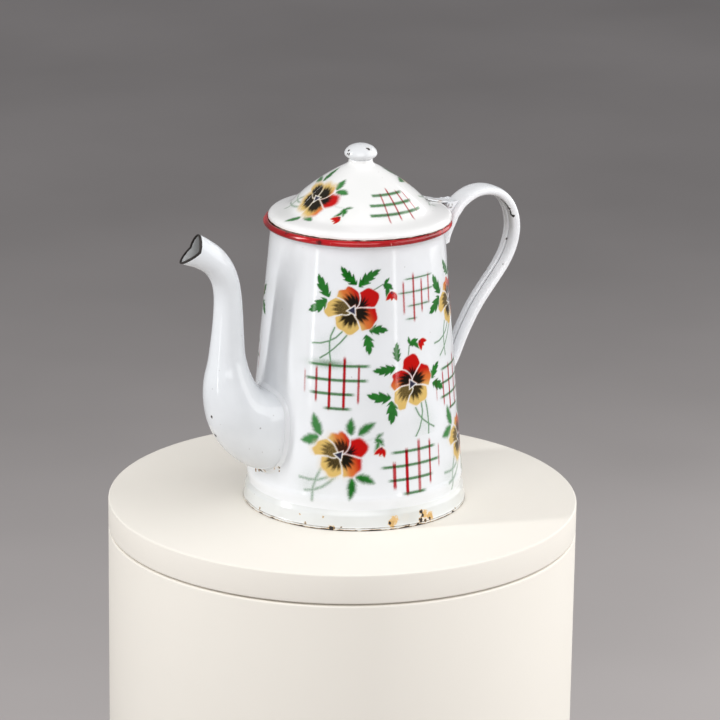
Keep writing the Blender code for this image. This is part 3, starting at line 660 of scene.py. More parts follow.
def wall_line():
    """The wall's outside, from its flared top edge down to the skirt's end."""
    reach = (WIRE_RADIUS + GAP) / math.sqrt(2)
    half = SHEET / 2 / math.sqrt(2)
    top = np.array((RIM_RADIUS - reach + half, RIM_HEIGHT - reach - half))
    base = np.array((WALL_TOP_RADIUS, WALL_TOP_HEIGHT))
    bend = np.array((base[0], top[1] - (top[0] - base[0])))
    flare = bow(top, bend, base, np.linspace(0.0, 1.0, 9)[:, None])
    cone = [(wall_radius(z), z) for z in np.linspace(WALL_TOP_HEIGHT, WALL_FOOT_HEIGHT, 36)[1:]]
    turned = []
    for down, bulge in TURN_ROWS:
        plain = WALL_FOOT_RADIUS + (SKIRT_RADIUS - WALL_FOOT_RADIUS) * down
        turned.append((plain + TURN_BULGE * bulge, WALL_FOOT_HEIGHT + (SKIRT_TOP - WALL_FOOT_HEIGHT) * down))
    return np.vstack([flare, cone, smooth_line(turned, 4)[1:], [(SKIRT_RADIUS, SKIRT_BOTTOM)]])


def punched(piece, cutter):
    """Cuts one piece with another, which is then removed."""
    cut = piece.modifiers.new("punch", 'BOOLEAN')
    cut.operation = 'DIFFERENCE'
    cut.solver = 'EXACT'
    cut.object = cutter
    bpy.context.view_layer.update()
    mesh = bpy.data.meshes.new_from_object(piece.evaluated_get(bpy.context.evaluated_depsgraph_get()))
    piece.modifiers.clear()
    piece.data = mesh
    shade(mesh)
    bpy.data.objects.remove(cutter, do_unlink=True)


def strainer_punches():
    """Round punches in a hexagonal pattern, along x through the wall behind the spout."""
    bm = bmesh.new()
    along_x = Matrix.Rotation(math.radians(90), 4, 'Y')
    rings = range(-PUNCH_RINGS, PUNCH_RINGS + 1)
    for row, column in itertools.product(rings, rings):
        if abs(row + column) > PUNCH_RINGS:
            continue
        y = PUNCH_PITCH * (column + row / 2)
        z = ROOT_HEIGHT + PUNCH_PITCH * row * math.sin(math.radians(60))
        bmesh.ops.create_cone(
            bm, cap_ends=True, segments=24, radius1=PUNCH_RADIUS, radius2=PUNCH_RADIUS, depth=PUNCH_LENGTH,
            matrix=Matrix.Translation((AXIS_X - SEAT_RADIUS, y, z)) @ along_x)
    mesh = bpy.data.meshes.new("punches")
    bm.to_mesh(mesh)
    bm.free()
    return link("punches", mesh)


wall = spin("wall", sheet_section(wall_line(), SHEET), 240)
punched(wall, strainer_punches())
wall_chips = [
    (-63.9, 5.0, 24.9, 0.9, 0.3), (-64.1, 0.4, 26.4, 0.7, 0.2), (-61.2, -17.2, 32.6, 0.7, 0.3),
    (-60.3, -20.6, 31.5, 0.5, 0.2),
]
dress(wall, enamel("wall_enamel", chips=wall_chips), "pot", "body_shell")

# %% [markdown]
# ## Rolled rim
# The wall's edge is stiffened by a strip rolled round a wire, dipped in red. Hand work leaves the
# roll a little uneven, so its section wavers by a tenth of a millimetre on the way round. The
# red is worn through in many short spots, because every pouring and every lid rubs it.

# %% Rim roll
BEAD_SHEET = 0.0006
SLIT_ANGLE = math.radians(225)
RIM_WAVER = 0.1 * MM
# The waves that it wavers in: how many go round, their strength and where they start
RIM_WAVES = ((7, 1.0, 0.6), (17, 0.6, 0.0), (31, 0.4, 2.0))

opening = math.asin((SHEET / 2 + GAP) / (BEAD_RADIUS - BEAD_SHEET))
roll_turn = np.linspace(SLIT_ANGLE - opening, SLIT_ANGLE + opening - FULL_TURN, 28)[:, None]
roll_line = np.hstack([np.cos(roll_turn), np.sin(roll_turn)]) * BEAD_RADIUS + (RIM_RADIUS, RIM_HEIGHT)
rim_roll = spin("rim_roll", sheet_section(roll_line, BEAD_SHEET), 320)
for vertex in rim_roll.data.vertices:
    around = math.atan2(vertex.co.y, vertex.co.x - AXIS_X)
    waver = sum(strength * math.sin(count * around + start) for count, strength, start in RIM_WAVES)
    vertex.co += Vector((math.cos(around), math.sin(around), 0.5)) * (RIM_WAVER * waver / 2)
print("rim roll wavers by up to", RIM_WAVER / MM, "mm")

# %% Rubbed red enamel
RED = colour(186, 18, 24)
RED_DEEP = colour(126, 10, 16)
RED_RUBBED = colour(46, 22, 20)
RED_PIN_HOLE = colour(214, 150, 140)
RUBBED_SPOTS = (140.0, 4.0, (0.57, 0.68), 0.85)
PIN_HOLES = (420.0, 2.0, (0.70, 0.76), 0.6)


def rubbed_red(tree, tint, place):
    """Wear on the red: dark rubbed spots and pale pin holes."""
    tint = mixed(tree, patches(tree, place, *RUBBED_SPOTS), tint, RED_RUBBED)
    return mixed(tree, patches(tree, place, *PIN_HOLES), tint, RED_PIN_HOLE)


red_enamel = enamel("red_enamel", RED, RED_DEEP, print_over=rubbed_red, gloss=0.13)
dress(rim_roll, red_enamel, "pot", "rim_bead")

# %% [markdown]
# ## Foot ring and raised bottom
# The pot stands on a separate ring with a small lip, pushed over the skirt. Its edge meets the
# stove and the sink, so it carries most of the chips. The bottom is a shallow pan inside the
# skirt, raised clear of the table.

# %% Foot ring
BAND_INSIDE = SKIRT_RADIUS + GAP
BAND_TOP_RADIUS = BAND_INSIDE + 0.0014
FOOT_RADIUS = BAND_TOP_RADIUS + 0.0011
BAND_HEIGHT = 0.0098
BAND_LIP = 0.0019
# The foot's two whites are darker than the wall's: painted shade
FOOT_WHITE, FOOT_CLOUD = colour(217, 219, 218), colour(205, 206, 202)

# The enamel ran into the joint with the skirt, so the ring's top slopes into the wall
ring_corners = [
    (SKIRT_RADIUS - 0.2 * MM, BAND_HEIGHT), (SKIRT_RADIUS - 0.1 * MM, BAND_HEIGHT + 3.4 * MM),
    (SKIRT_RADIUS + 0.5 * MM, BAND_HEIGHT + 1.6 * MM), (BAND_TOP_RADIUS - 0.1 * MM, BAND_HEIGHT - 0.4 * MM),
    (BAND_TOP_RADIUS + 0.45 * MM, 3.9 * MM), (FOOT_RADIUS - 0.4 * MM, BAND_LIP + 0.7 * MM),
    (FOOT_RADIUS, BAND_LIP), (FOOT_RADIUS, 0.0), (BAND_INSIDE, 0.0), (BAND_INSIDE, BAND_HEIGHT - 1.0 * MM),
]
foot_ring = spin("foot_ring", rounded(ring_corners, 1.2 * MM, 6)[::-1], 256)
foot_chips = [
    (-4.5, -69.5, 6.0, 2.4, 0.0, 0.7), (-5.8, -69.5, 4.0, 2.1, 0.0, 0.75), (-7.2, -69.3, 4.4, 0.9, 1.0),
    (17.4, -68.7, 6.4, 2.2, 0.0, 0.7), (22.2, -67.8, 4.1, 2.3, 0.0, 0.75),
    (15.0, -69.0, 8.2, 1.3, 1.0, 0.7), (16.2, -69.0, 6.0, 1.2, 1.0, 0.7),
    (14.8, -69.6, 3.1, 1.5, 1.0, 0.7), (18.0, -69.0, 2.4, 1.2, 0.9, 0.7),
    (21.6, -68.3, 2.9, 0.9, 0.9, 0.9), (12.2, -70.6, 0.4, 1.4, 1.0, 0.7),
    (3.1, -70.2, 6.8, 2.6, 0.0, 0.12), (5.7, -70.6, 1.6, 0.6, 0.9, 0.5),
    (-41.1, -54.9, 1.0, 1.9, 1.0, 0.7), (-36.0, -58.6, 2.6, 0.6, 1.0, 0.5),
    (-28.0, -63.4, 0.2, 0.9, 1.0, 0.5), (-54.5, -38.3, 7.7, 0.6, 0.4, 0.6),
    (-44.5, -50.3, 8.0, 0.6, 0.5, 0.6), (-52.8, -42.0, 2.7, 0.8, 0.7, 0.5),
    (-66.2, -5.7, 3.2, 0.8, 0.7, 0.5), (43.5, -59.0, 0.6, 1.3, 1.0, 0.5),
    (46.5, -56.5, 2.2, 0.6, 0.9, 0.6), (40.0, 61.0, 1.4, 1.4, 1.0), (-22.0, 66.0, 1.2, 1.2, 0.7),
    (60.0, 38.0, 4.0, 1.8, 0.0, 0.5), (61.5, 36.0, 1.6, 0.9, 1.0),
]
foot_wear = [(0.0, 0.85), (1000 * BAND_LIP, 0.14)]
foot_enamel = enamel("foot_enamel", FOOT_WHITE, FOOT_CLOUD, foot_chips, foot_wear, gloss=0.2)
dress(foot_ring, foot_enamel, "pot", "foot_band")

# %% Raised bottom
PAN_HEIGHT = 0.0095
PAN_FILLET = 0.0035
PAN_RADIUS = SKIRT_RADIUS - SHEET - GAP
PAN_EDGE = 0.0016
PAN_CLOUD = colour(212, 208, 200)

pan_flat = [(PAN_RADIUS * share, PAN_HEIGHT) for share in (0.002, 0.2, 0.4, 0.6, 0.8, 0.93)]
pan_turn = quarter_round(PAN_RADIUS, PAN_HEIGHT, PAN_FILLET, 9)
pan_line = np.vstack([pan_flat, pan_turn, [(PAN_RADIUS, PAN_EDGE)]])
raised_bottom = spin("raised_bottom", sheet_section(pan_line, SHEET), 192)
bottom_enamel = enamel("bottom_enamel", cloud=PAN_CLOUD, worn=[(1000 * PAN_EDGE, 0.8)])
dress(raised_bottom, bottom_enamel, "pot", "bottom_pan")

# %% [markdown]
# ## Gooseneck spout
# The spout starts as a wide bulb low on the wall, narrows quickly into a thin neck, rises close
# to the wall and bends out into a beak. It could be a curve with a round bevel, but then its
# sections couldn't widen, flatten and tilt by themselves. Here each section has its own middle,
# size and tilt, and a skin runs over them. Every lengthwise line of the skin starts exactly where
# it meets the wall and ends exactly where the notch of the mouth cuts it, so both edges are
# clean. Around the mouth the enamel has worn off, down to dark iron.

# %% The spout's sections, from its root to past its mouth
SPOUT_REACH = 0.12308
SPOUT_TOP = 0.1853
# How far out and how high, as shares of the reach and the rise, the radius as a share of the
# root's, the tilt in degrees, and the width across as a share of the radius
SPOUT_SHARES = (
    (-0.122, 0.008, 1.070, 0.0, 0.93), (0.036, 0.010, 1.075, 4.1, 0.94), (0.158, 0.030, 1.045, 12.2, 0.97),
    (0.283, 0.080, 0.975, 23.6, 0.98), (0.390, 0.155, 0.875, 37.9, 0.98), (0.445, 0.238, 0.738, 52.4, 0.98),
    (0.460, 0.312, 0.625, 63.7, 0.96), (0.447, 0.385, 0.500, 76.7, 0.98), (0.434, 0.497, 0.425, 88.0, 1.00),
    (0.429, 0.611, 0.383, 88.0, 1.00), (0.441, 0.705, 0.362, 77.0, 1.00), (0.486, 0.784, 0.362, 59.0, 1.00),
    (0.585, 0.853, 0.375, 42.0, 0.97), (0.730, 0.902, 0.400, 31.0, 0.84), (0.902, 0.939, 0.438, 24.0, 0.61),
    (1.120, 0.979, 0.467, 22.0, 0.54),
)
MOUTH_FOLD = np.array((0.830, 0.928))
MOUTH_TIP = np.array((0.784, 1.000))
MOUTH_LIP = np.array((1.000, 0.871))
SPOUT_COLUMNS = 72
SPOUT_STEPS = 30
# The root is pressed a little square, and turns round on its way out
ROOT_SQUARENESS = 2.9
ROOT_SQUARE_REACH = 0.26
# The beak is pinched towards a point above and below
PINCH = 0.45
PINCH_START = 0.78


def side_place(out_share, rise_share):
    """A point of the spout's side view, from shares of its reach and its rise."""
    return (-(SEAT_RADIUS + (SPOUT_REACH - SEAT_RADIUS) * out_share),
            ROOT_HEIGHT + (SPOUT_TOP - ROOT_HEIGHT) * rise_share)


def spout_section(out, rise, radius, tilt, side):
    """A section's middle, size, tilt and half width, from its shares."""
    size = ROOT_RADIUS * radius
    return (*side_place(out, rise), size, math.radians(tilt), size * side)


spout_rows = smooth_line([spout_section(*row) for row in SPOUT_SHARES], SPOUT_STEPS)
spout_steps = np.linspace(0.0, 1.0, len(spout_rows))


def spout_points(along, angle):
    """Points of the spout's outside. Along runs from 0 to 1, and the angle starts underneath."""
    x, z, size, tilt, side = (np.interp(along, spout_steps, column) for column in spout_rows.T)
    fade = np.clip(1 - along / ROOT_SQUARE_REACH, 0.0, 1.0)
    power = 2 + (ROOT_SQUARENESS - 2) * fade * fade * (3 - 2 * fade)
    stretch = (abs(np.cos(angle)) ** power + abs(np.sin(angle)) ** power) ** (-1 / power)
    down = size * np.cos(angle) * stretch
    pinched = abs(np.sin(angle)) ** (PINCH * np.clip((along - PINCH_START) / (1 - PINCH_START), 0.0, 1.0))
    wide = side * np.sin(angle) * stretch * pinched
    return np.stack([x - down * np.sin(tilt), wide, z - down * np.cos(tilt)], axis=-1)


print("spout sections", len(spout_rows))

# %% Where each lengthwise line leaves the wall and meets the mouth
ROOT_TRIAL = np.linspace(0.0, 0.35, 1500)
MOUTH_TRIAL = np.linspace(0.55, 1.0, 3000)


def beyond(points, start, end):
    """How far points of the side view stand on the left of a line, seen along it."""
    (ax, az), (bx, bz) = side_place(*start), side_place(*end)
    return (bx - ax) * (points[..., 2] - az) - (bz - az) * (points[..., 0] - ax)


def first_crossing(values, steps):
    """The step at which each column first turns from negative to positive."""
    index = np.argmax(values > 0, axis=0)
    columns = np.arange(values.shape[1])
    before, after = values[index - 1, columns], values[index, columns]
    return steps[index - 1] + (steps[index] - steps[index - 1]) * before / (before - after)


spout_angle = np.linspace(0.0, FULL_TURN, SPOUT_COLUMNS, endpoint=False)
near_root = spout_points(ROOT_TRIAL[:, None], spout_angle[None, :])
clear = np.hypot(near_root[..., 0], near_root[..., 1]) - wall_radius(near_root[..., 2]) - GAP
root_at = first_crossing(clear, ROOT_TRIAL)
near_mouth = spout_points(MOUTH_TRIAL[:, None], spout_angle[None, :])
notch = np.minimum(beyond(near_mouth, MOUTH_FOLD, MOUTH_TIP), beyond(near_mouth, MOUTH_LIP, MOUTH_FOLD))
mouth_at = first_crossing(notch, MOUTH_TRIAL)
print("root between", root_at.min().round(3), root_at.max().round(3))
print("mouth between", mouth_at.min().round(3), mouth_at.max().round(3))

# %% Spout skin
# The rows along the spout, as shares of the way from the wall to the mouth, closer at the mouth
SPOUT_ROWS = np.concatenate([np.linspace(0.0, 0.99, 110), [0.9935, 0.9965, 0.9985, 1.0]])
# How many rows are bare outside and inside the mouth, and how many the painted shade inside fades in over
BARE_OUTSIDE = 4
BARE_INSIDE = 3
INSIDE_SHADE_FADE = 24


def outward_normals(grid):
    """Unit normals of a grid of points round a middle, whose columns close on themselves."""
    down = np.gradient(grid, axis=0)
    around = np.roll(grid, -1, axis=1) - np.roll(grid, 1, axis=1)
    normals = unit(np.cross(around, down))
    middle = grid.mean(axis=1, keepdims=True)
    return normals * np.sign((normals * (grid - middle)).sum(axis=-1).mean())


outside = spout_points(root_at + (mouth_at - root_at) * SPOUT_ROWS[:, None], spout_angle[None, :])
spout_normals = outward_normals(outside)
inside = outside - spout_normals * SHEET
over_lip = unit(outside[-1] - outside[-3]) * SHEET / 2
lip = half_round(outside[-1], inside[-1], over_lip, np.linspace(0.0, math.pi, 6)[1:-1, None, None])
spout_grid = np.vstack([outside, lip, inside[::-1]])
first_inside = len(outside) + len(lip)
bare_rows = np.zeros(len(spout_grid))
bare_rows[len(outside) - BARE_OUTSIDE:first_inside + BARE_INSIDE] = 1.0
# Painted shade inside the neck, weak at the lip and full further in
inside_shade_rows = np.zeros(len(spout_grid))
inside_shade_rows[first_inside:] = 1.0
inside_shade_rows[first_inside:first_inside + INSIDE_SHADE_FADE] = np.linspace(0.2, 1.0, INSIDE_SHADE_FADE)
every_column = np.ones(SPOUT_COLUMNS)
spout_marks = {"bare": np.outer(bare_rows, every_column), "inside": np.outer(inside_shade_rows, every_column)}
spout_skin = skin("spout_skin", spout_grid, close_rows=True, marks=spout_marks)
print("spout skin", spout_grid.shape[0], "rows by", spout_grid.shape[1], "columns")

# %% Spout enamel, with painted shade inside and worn at the mouth
# The spout's two whites are a little darker than the wall's: painted shade
SPOUT_WHITE, SPOUT_CLOUD = colour(230, 233, 236), colour(222, 225, 228)
INSIDE_SHADE, INSIDE_SHADE_CLOUD = colour(158, 157, 152), colour(180, 178, 172)
INSIDE_SHADE_SCALE = 160.0
spout_chips = [
    (-99.5, -4.7, 67.9, 1.1, 1.0, 0.2), (-95.1, -0.7, 54.3, 1.4, 1.0, 0.2),
    (-75.3, -23.3, 62.4, 0.7, 0.4, 0.1), (-76.2, -21.0, 49.1, 0.7, 0.6, 0.1),
    (-88.0, 14.0, 45.0, 0.8, 0.9),
]


def painted_inside_shade(tree, tint, place):
    """Painted shade inside the neck: a grey tint that grows in over the rows past the mouth."""
    dull = mixed(tree, noise(tree, place, INSIDE_SHADE_SCALE), INSIDE_SHADE, INSIDE_SHADE_CLOUD)
    return mixed(tree, stored(tree, "inside"), tint, dull)


spout_enamel = enamel(
    "spout_enamel", SPOUT_WHITE, SPOUT_CLOUD, spout_chips, mark="bare", print_over=painted_inside_shade, gloss=0.07)
dress(spout_skin, spout_enamel, "pot", "spout")
# The right strip would draw a hard line on the spout's shoulder, which the picture doesn't have
kept_off = bpy.data.collections.new("not_lit_by_strip_right")
lights["strip_right"].light_linking.receiver_collection = kept_off
kept_off.objects.link(spout_skin)
kept_off.collection_objects[0].light_linking.link_state = 'EXCLUDE'

# %% [markdown]
# Where the spout meets the wall, the weld and the enamel that gathered on it make a low rounded
# bead, with a fine crease on the spout's side. It is a ring of its own. Each slice runs from the
# wall to the spout in an arch, and its two ends sink into them, so no gap shows.

# %% Root bead
BEAD_FOOT = 2.6 * MM
BEAD_RISE = 1.3 * MM
BEAD_SINK = 0.12 * MM
# How far up the spout the bead leans, as a share of the spout's length
BEAD_LEAN = 0.020


def on_wall(points, lift=0.0):
    """Points moved straight out or in, to stand on the wall's surface."""
    around = np.arctan2(points[..., 1], points[..., 0])
    radius = wall_radius(points[..., 2]) + lift
    return np.stack([radius * np.cos(around), radius * np.sin(around), points[..., 2]], axis=-1)


joint = outside[0]
away = np.stack([0 * spout_angle, np.sin(spout_angle), -np.cos(spout_angle)], axis=-1)
up_spout = unit(spout_points(root_at + BEAD_LEAN, spout_angle) - joint) * BEAD_RISE
bead_foot = on_wall(joint + away * BEAD_FOOT)
bead_bend = on_wall(joint + away * BEAD_FOOT / 2) + up_spout
bead_arch = bow(bead_foot, bead_bend, joint + up_spout, np.linspace(0.0, 1.0, 9)[:, None, None])
sunk_foot = on_wall(joint + away * BEAD_FOOT, -BEAD_SINK)
sunk_top = joint + up_spout - spout_normals[3] * BEAD_SINK
sunk_back = on_wall(joint - away * SHEET / 2, -BEAD_SINK)
bead_grid = np.vstack([sunk_foot[None], bead_arch, sunk_top[None], sunk_back[None]])
root_fillet = skin("root_fillet", bead_grid, close_rows=True)
fillet_chips = [
    (-64.3, 4.8, 26.4, 1.8, 1.0, 0.6), (-64.5, -2.8, 27.4, 2.1, 1.0, 0.6),
    (-64.4, 1.2, 26.4, 2.2, 0.0, 0.6), (-61.5, -16.8, 33.8, 1.6, 1.0, 0.5),
    (-60.2, -20.2, 34.0, 1.1, 0.9, 0.4), (-63.5, 9.5, 26.6, 1.4, 0.5, 0.5),
    (-63.6, -8.0, 29.0, 1.3, 0.7, 0.5), (-61.9, -13.2, 31.6, 1.0, 0.6, 0.5),
]
dress(root_fillet, enamel("fillet_enamel", chips=fillet_chips), "pot", "spout_weld")

# %% [markdown]
# ## Strap handle
# The handle is one strip of sheet, rolled in along both edges, so that it is round to the hand
# outside and shows a slot along its inside. It rises from under the rim, carries the hinge, goes
# over in a high arch and comes back to the wall. A channel section carried along the strap's
# middle line gives that shape directly, with the true sheet all round.

# %% The strap's middle line, in the side view
HINGE_X = 0.06315
HINGE_Z = 0.1864
HINGE_TILT = math.radians(52)
STRAP_ROOT_DEPTH = 0.0066
STRAP_FOOT_DEPTH = 0.0054
STRAP_SHEET = 0.0009
STRAP_ROOT_HEIGHT = RIM_HEIGHT - 0.0195
STRAP_FOOT_HEIGHT = RIM_HEIGHT * 0.429
STRAP_TOP = HINGE_Z + 0.0062
STRAP_ELBOW = STRAP_FOOT_HEIGHT + (STRAP_TOP - STRAP_FOOT_HEIGHT) * 0.774
STRAP_LANDING = 0.0125
ARCH_REACH = 0.0435
BARREL_RADIUS = 0.00205
SEAT_DROP = BARREL_RADIUS + GAP + SHEET + GAP + STRAP_ROOT_DEPTH / 2
SADDLE_LENGTH = 0.0095
SEAT_STEP = 0.4 * SADDLE_LENGTH
# Shares of the way across and up for each stretch: root to hinge, over the top, down to the
# elbow, and back to the foot
ROOT_SHARES = ((0.000, 0.000), (0.126, 0.250), (0.479, 0.577), (0.860, 0.875))
ARCH_SHARES = ((0.054, 0.253), (0.176, 0.680), (0.317, 0.947), (0.470, 1.000))
TURN_SHARES = ((0.628, 0.946), (0.774, 0.815), (0.891, 0.598), (0.968, 0.320))
FALL_SHARES = (
    (1.000, 1.000), (0.982, 0.909), (0.929, 0.822), (0.847, 0.740), (0.745, 0.664), (0.618, 0.580),
    (0.494, 0.496), (0.385, 0.413), (0.292, 0.327), (0.208, 0.241), (0.139, 0.158), (0.074, 0.077),
)


def stretch(start, end, shares):
    """Points whose shares run from one corner of a box to the other."""
    return [(start[0] + (end[0] - start[0]) * x, start[1] + (end[1] - start[1]) * z) for x, z in shares]


def strap_line():
    """Points along the middle of the strap, as rows of distance from the axis and height."""
    seat = (HINGE_X + SEAT_DROP * math.sin(HINGE_TILT), HINGE_Z - SEAT_DROP * math.cos(HINGE_TILT))
    step = (SEAT_STEP * math.cos(HINGE_TILT), SEAT_STEP * math.sin(HINGE_TILT))
    before, after = (seat[0] - step[0], seat[1] - step[1]), (seat[0] + step[0], seat[1] + step[1])
    reach = seat[0] + ARCH_REACH
    root = (wall_radius(STRAP_ROOT_HEIGHT) + GAP + STRAP_ROOT_DEPTH / 2, STRAP_ROOT_HEIGHT)
    foot = (wall_radius(STRAP_FOOT_HEIGHT) + GAP + STRAP_FOOT_DEPTH / 2, STRAP_FOOT_HEIGHT)
    landing = [STRAP_FOOT_HEIGHT - STRAP_LANDING * share for share in (0.0, 0.35, 1.0)]
    return (
        stretch(root, before, ROOT_SHARES) + [before, seat, after]
        + stretch(after, (reach, STRAP_TOP), ARCH_SHARES)
        + stretch((after[0], STRAP_ELBOW), (reach, STRAP_TOP), TURN_SHARES)
        + stretch(foot, (reach, STRAP_ELBOW), FALL_SHARES)
        + [(wall_radius(z) + GAP + STRAP_FOOT_DEPTH / 2, z) for z in landing]
    )


print("strap rows", len(strap_line()))

# %% The strap's channel section and its skin
STRAP_ROOT_WIDTH = 0.0185
STRAP_FOOT_WIDTH = 0.0150
STRAP_SLOT = 0.0018
STRAP_LIP = 0.0009
SQUARENESS = 2.6
ROOT_SLANT = 0.45
LINE_STEPS = 4
CHANNEL_POINTS = 41


def channel(width, depth):
    """The channel's closed section, as rows of across and out."""
    half_width, half_depth = (width - STRAP_SHEET) / 2, (depth - STRAP_SHEET) / 2
    edge = (STRAP_SLOT + STRAP_SHEET) / 2
    power = 2 / SQUARENESS
    start = math.asin(((edge + STRAP_LIP / 2) / half_width) ** (1 / power))
    angle = np.linspace(start, FULL_TURN - start, CHANNEL_POINTS)
    sine, cosine = np.sin(angle), np.cos(angle)
    ring = np.stack([half_width * np.sign(sine) * abs(sine) ** power,
                     -half_depth * np.sign(cosine) * abs(cosine) ** power], axis=1)
    ends = STRAP_LIP - half_depth
    middle = np.vstack([[(edge, ends)], ring, [(-edge, ends)]])[::-1]
    outer = middle + left_of(unit(np.gradient(middle, axis=0))) * STRAP_SHEET / 2
    return sheet_section(outer, STRAP_SHEET, 4)


def strap_rings():
    """The channel's section at each point of the strap's middle line."""
    line = smooth_line(strap_line(), LINE_STEPS)
    rings = []
    for row, (point, way) in enumerate(zip(line, unit(np.gradient(line, axis=0)))):
        share = row / (len(line) - 1)
        width = STRAP_ROOT_WIDTH + (STRAP_FOOT_WIDTH - STRAP_ROOT_WIDTH) * share
        depth = STRAP_ROOT_DEPTH + (STRAP_FOOT_DEPTH - STRAP_ROOT_DEPTH) * share
        slant = ROOT_SLANT * max(0.0, 1 - row / LINE_STEPS)
        section = channel(width, depth)
        side = point + section[:, 1:] * (np.array((-way[1], way[0])) - way * slant)
        rings.append(np.stack([side[:, 0], section[:, 0], side[:, 1]], axis=1))
    return np.array(rings)


strap_grid = strap_rings()
print("strap grid", strap_grid.shape[0], "sections of", strap_grid.shape[1], "points")

# %% Strap: bare edge and painted shade inside
# Rows along the strap: where the bare line starts and ends, and the middle of the painted shade stretch
WORN_START, WORN_END = 46, 57
WORN_COLUMNS = (3, 4, 5)
INNER_SHADE_MIDDLE, INNER_SHADE_REACH = 52, 14
# The strap's two whites are lighter than the wall's: painted light
STRAP_WHITE, STRAP_CLOUD = colour(241, 242, 244), colour(234, 235, 237)
STRAP_SHADE, STRAP_SHADE_PALE = colour(128, 126, 122), colour(176, 174, 170)
STRAP_SHADE_SCALE = 240.0
STRAP_SHADE_STRENGTH = 0.8

# The rolled edge has worn bare in a thin slanting line where a finger hooks under the arch
worn_rows = np.arange(WORN_START, WORN_END)
bare_edge = np.zeros(strap_grid.shape[:2])
for column in WORN_COLUMNS:
    bare_edge[worn_rows, column] = 0.62 - 0.16 * abs(column - 2.6 - (worn_rows - WORN_START) / 4)
# Its inside face is tinted grey under the arch: painted shade
inner_shade_rows = np.clip(1.4 - abs(np.arange(len(strap_grid)) - INNER_SHADE_MIDDLE) / INNER_SHADE_REACH, 0.0, 1.0)
inward = -channel(STRAP_ROOT_WIDTH, STRAP_ROOT_DEPTH)[:, 1] / STRAP_ROOT_DEPTH
strap_marks = {"bare": bare_edge, "inner": np.outer(inner_shade_rows, np.clip(6 * inward - 2, 0.0, 1.0))}
strap = skin("strap", strap_grid, caps=True, marks=strap_marks)
strap_chips = [
    (112.7, -6.7, 174.4, 1.2, 1.0, 0.2), (110.4, -6.1, 179.4, 0.8, 1.0, 0.3),
    (113.1, 0.9, 157.1, 0.9, 0.8, 0.2), (101.4, 6.5, 136.4, 0.9, 0.7, 0.3),
    (106.3, -6.6, 143.1, 0.8, 0.4, 0.1), (104.0, 7.2, 186.0, 0.9, 0.9), (72.0, -7.0, 74.0, 0.8, 0.7),
]


def painted_strap_shade(tree, tint, place):
    """Painted shade: a grey tint on the strap's inside face under the arch."""
    grey = mixed(tree, noise(tree, place, STRAP_SHADE_SCALE, 4.0), STRAP_SHADE, STRAP_SHADE_PALE)
    return mixed(tree, maths(tree, 'MULTIPLY', stored(tree, "inner"), STRAP_SHADE_STRENGTH), tint, grey)


strap_enamel = enamel(
    "strap_enamel", STRAP_WHITE, STRAP_CLOUD, strap_chips, mark="bare", print_over=painted_strap_shade)
dress(strap, strap_enamel, "pot", "handle_strap")

# %% [markdown]
# ## Lid
# The lid is spun from one sheet: a brim that lies on the rim, a step, and an S-curve up to a
# short neck. Under it a collar drops into the pot and keeps it central. The knob is a turned
# button on a stem whose end is peened over a washer inside. All of them swing together.

# %% Lid dome
NECK_TOP = LID_BASE + LID_RISE
NECK_HOLE_RADIUS = 0.0026
NECK_EDGE_RADIUS = 0.0045
LID_SHARES = (
    (0.112, 1.000), (0.130, 0.984), (0.136, 0.940), (0.160, 0.900), (0.208, 0.862), (0.338, 0.742),
    (0.475, 0.600), (0.596, 0.455), (0.690, 0.322), (0.737, 0.247), (0.775, 0.195), (0.825, 0.160),
    (0.944, 0.117), (0.982, 0.085), (0.999, 0.045), (1.000, 0.000),
)
# The lid's two whites are lighter than the wall's: painted light
LID_WHITE = colour(240, 239, 238)
LID_CLOUD = colour(234, 234, 232)

lid_points = np.array(LID_SHARES) * (LID_RADIUS, LID_RISE) + (0.0, LID_BASE)
neck_top = [(NECK_HOLE_RADIUS, NECK_TOP), (NECK_EDGE_RADIUS, NECK_TOP)]
lid_line = np.vstack([neck_top, smooth_line(lid_points, 6)])
lid_dome = spin("lid_dome", sheet_section(lid_line, SHEET), 256, LID_SET_BACK)
lid_chips = [
    (51.7, -4.4, 191.6, 0.9, 0.8), (55.2, -3.2, 189.6, 0.8, 1.0), (55.4, -8.2, 189.4, 1.3, 1.0),
    (-20.0, 51.0, 186.0, 1.2, 0.9),
]
lid_wear = [(1000 * LID_BASE, 0.3)]
lid_enamel = enamel("lid_enamel", LID_WHITE, LID_CLOUD, lid_chips, lid_wear)
dress(lid_dome, lid_enamel, "lid", "lid_shell")

# %% Lid collar
COLLAR_PLAY = 0.0021
COLLAR_RADIUS = RIM_RADIUS - BEAD_RADIUS - LID_SET_BACK - COLLAR_PLAY
COLLAR_SHEET = 0.0008
COLLAR_SHOULDER = 0.0034
COLLAR_INNER = COLLAR_RADIUS - COLLAR_SHOULDER
COLLAR_DROP = 0.0075
COLLAR_END = LID_BASE - COLLAR_DROP


def lid_height(radius):
    """Height of the lid's outside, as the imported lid's straight facets have it."""
    return float(np.interp(radius, lid_points[:, 0], lid_points[:, 1]))


below_lid = 2 * (SHEET + GAP)
shoulder = lid_height(COLLAR_RADIUS) - below_lid
collar_corners = [
    (COLLAR_INNER, lid_height(COLLAR_INNER) - below_lid),
    (COLLAR_RADIUS - COLLAR_SHEET, shoulder),
    (COLLAR_RADIUS - 0.2 * COLLAR_SHEET, shoulder - 0.3 * COLLAR_SHEET),
    (COLLAR_RADIUS, shoulder - COLLAR_SHEET),
    (COLLAR_RADIUS, (shoulder + COLLAR_END) / 2),
    (COLLAR_RADIUS, COLLAR_END),
]
lid_collar = spin("lid_neck_ring", sheet_section(collar_corners, COLLAR_SHEET), 192, LID_SET_BACK)
collar_enamel = enamel("collar_enamel", LID_WHITE, LID_CLOUD, worn=[(1000 * COLLAR_END, 0.5)])
dress(lid_collar, collar_enamel, "lid", "lid_collar")

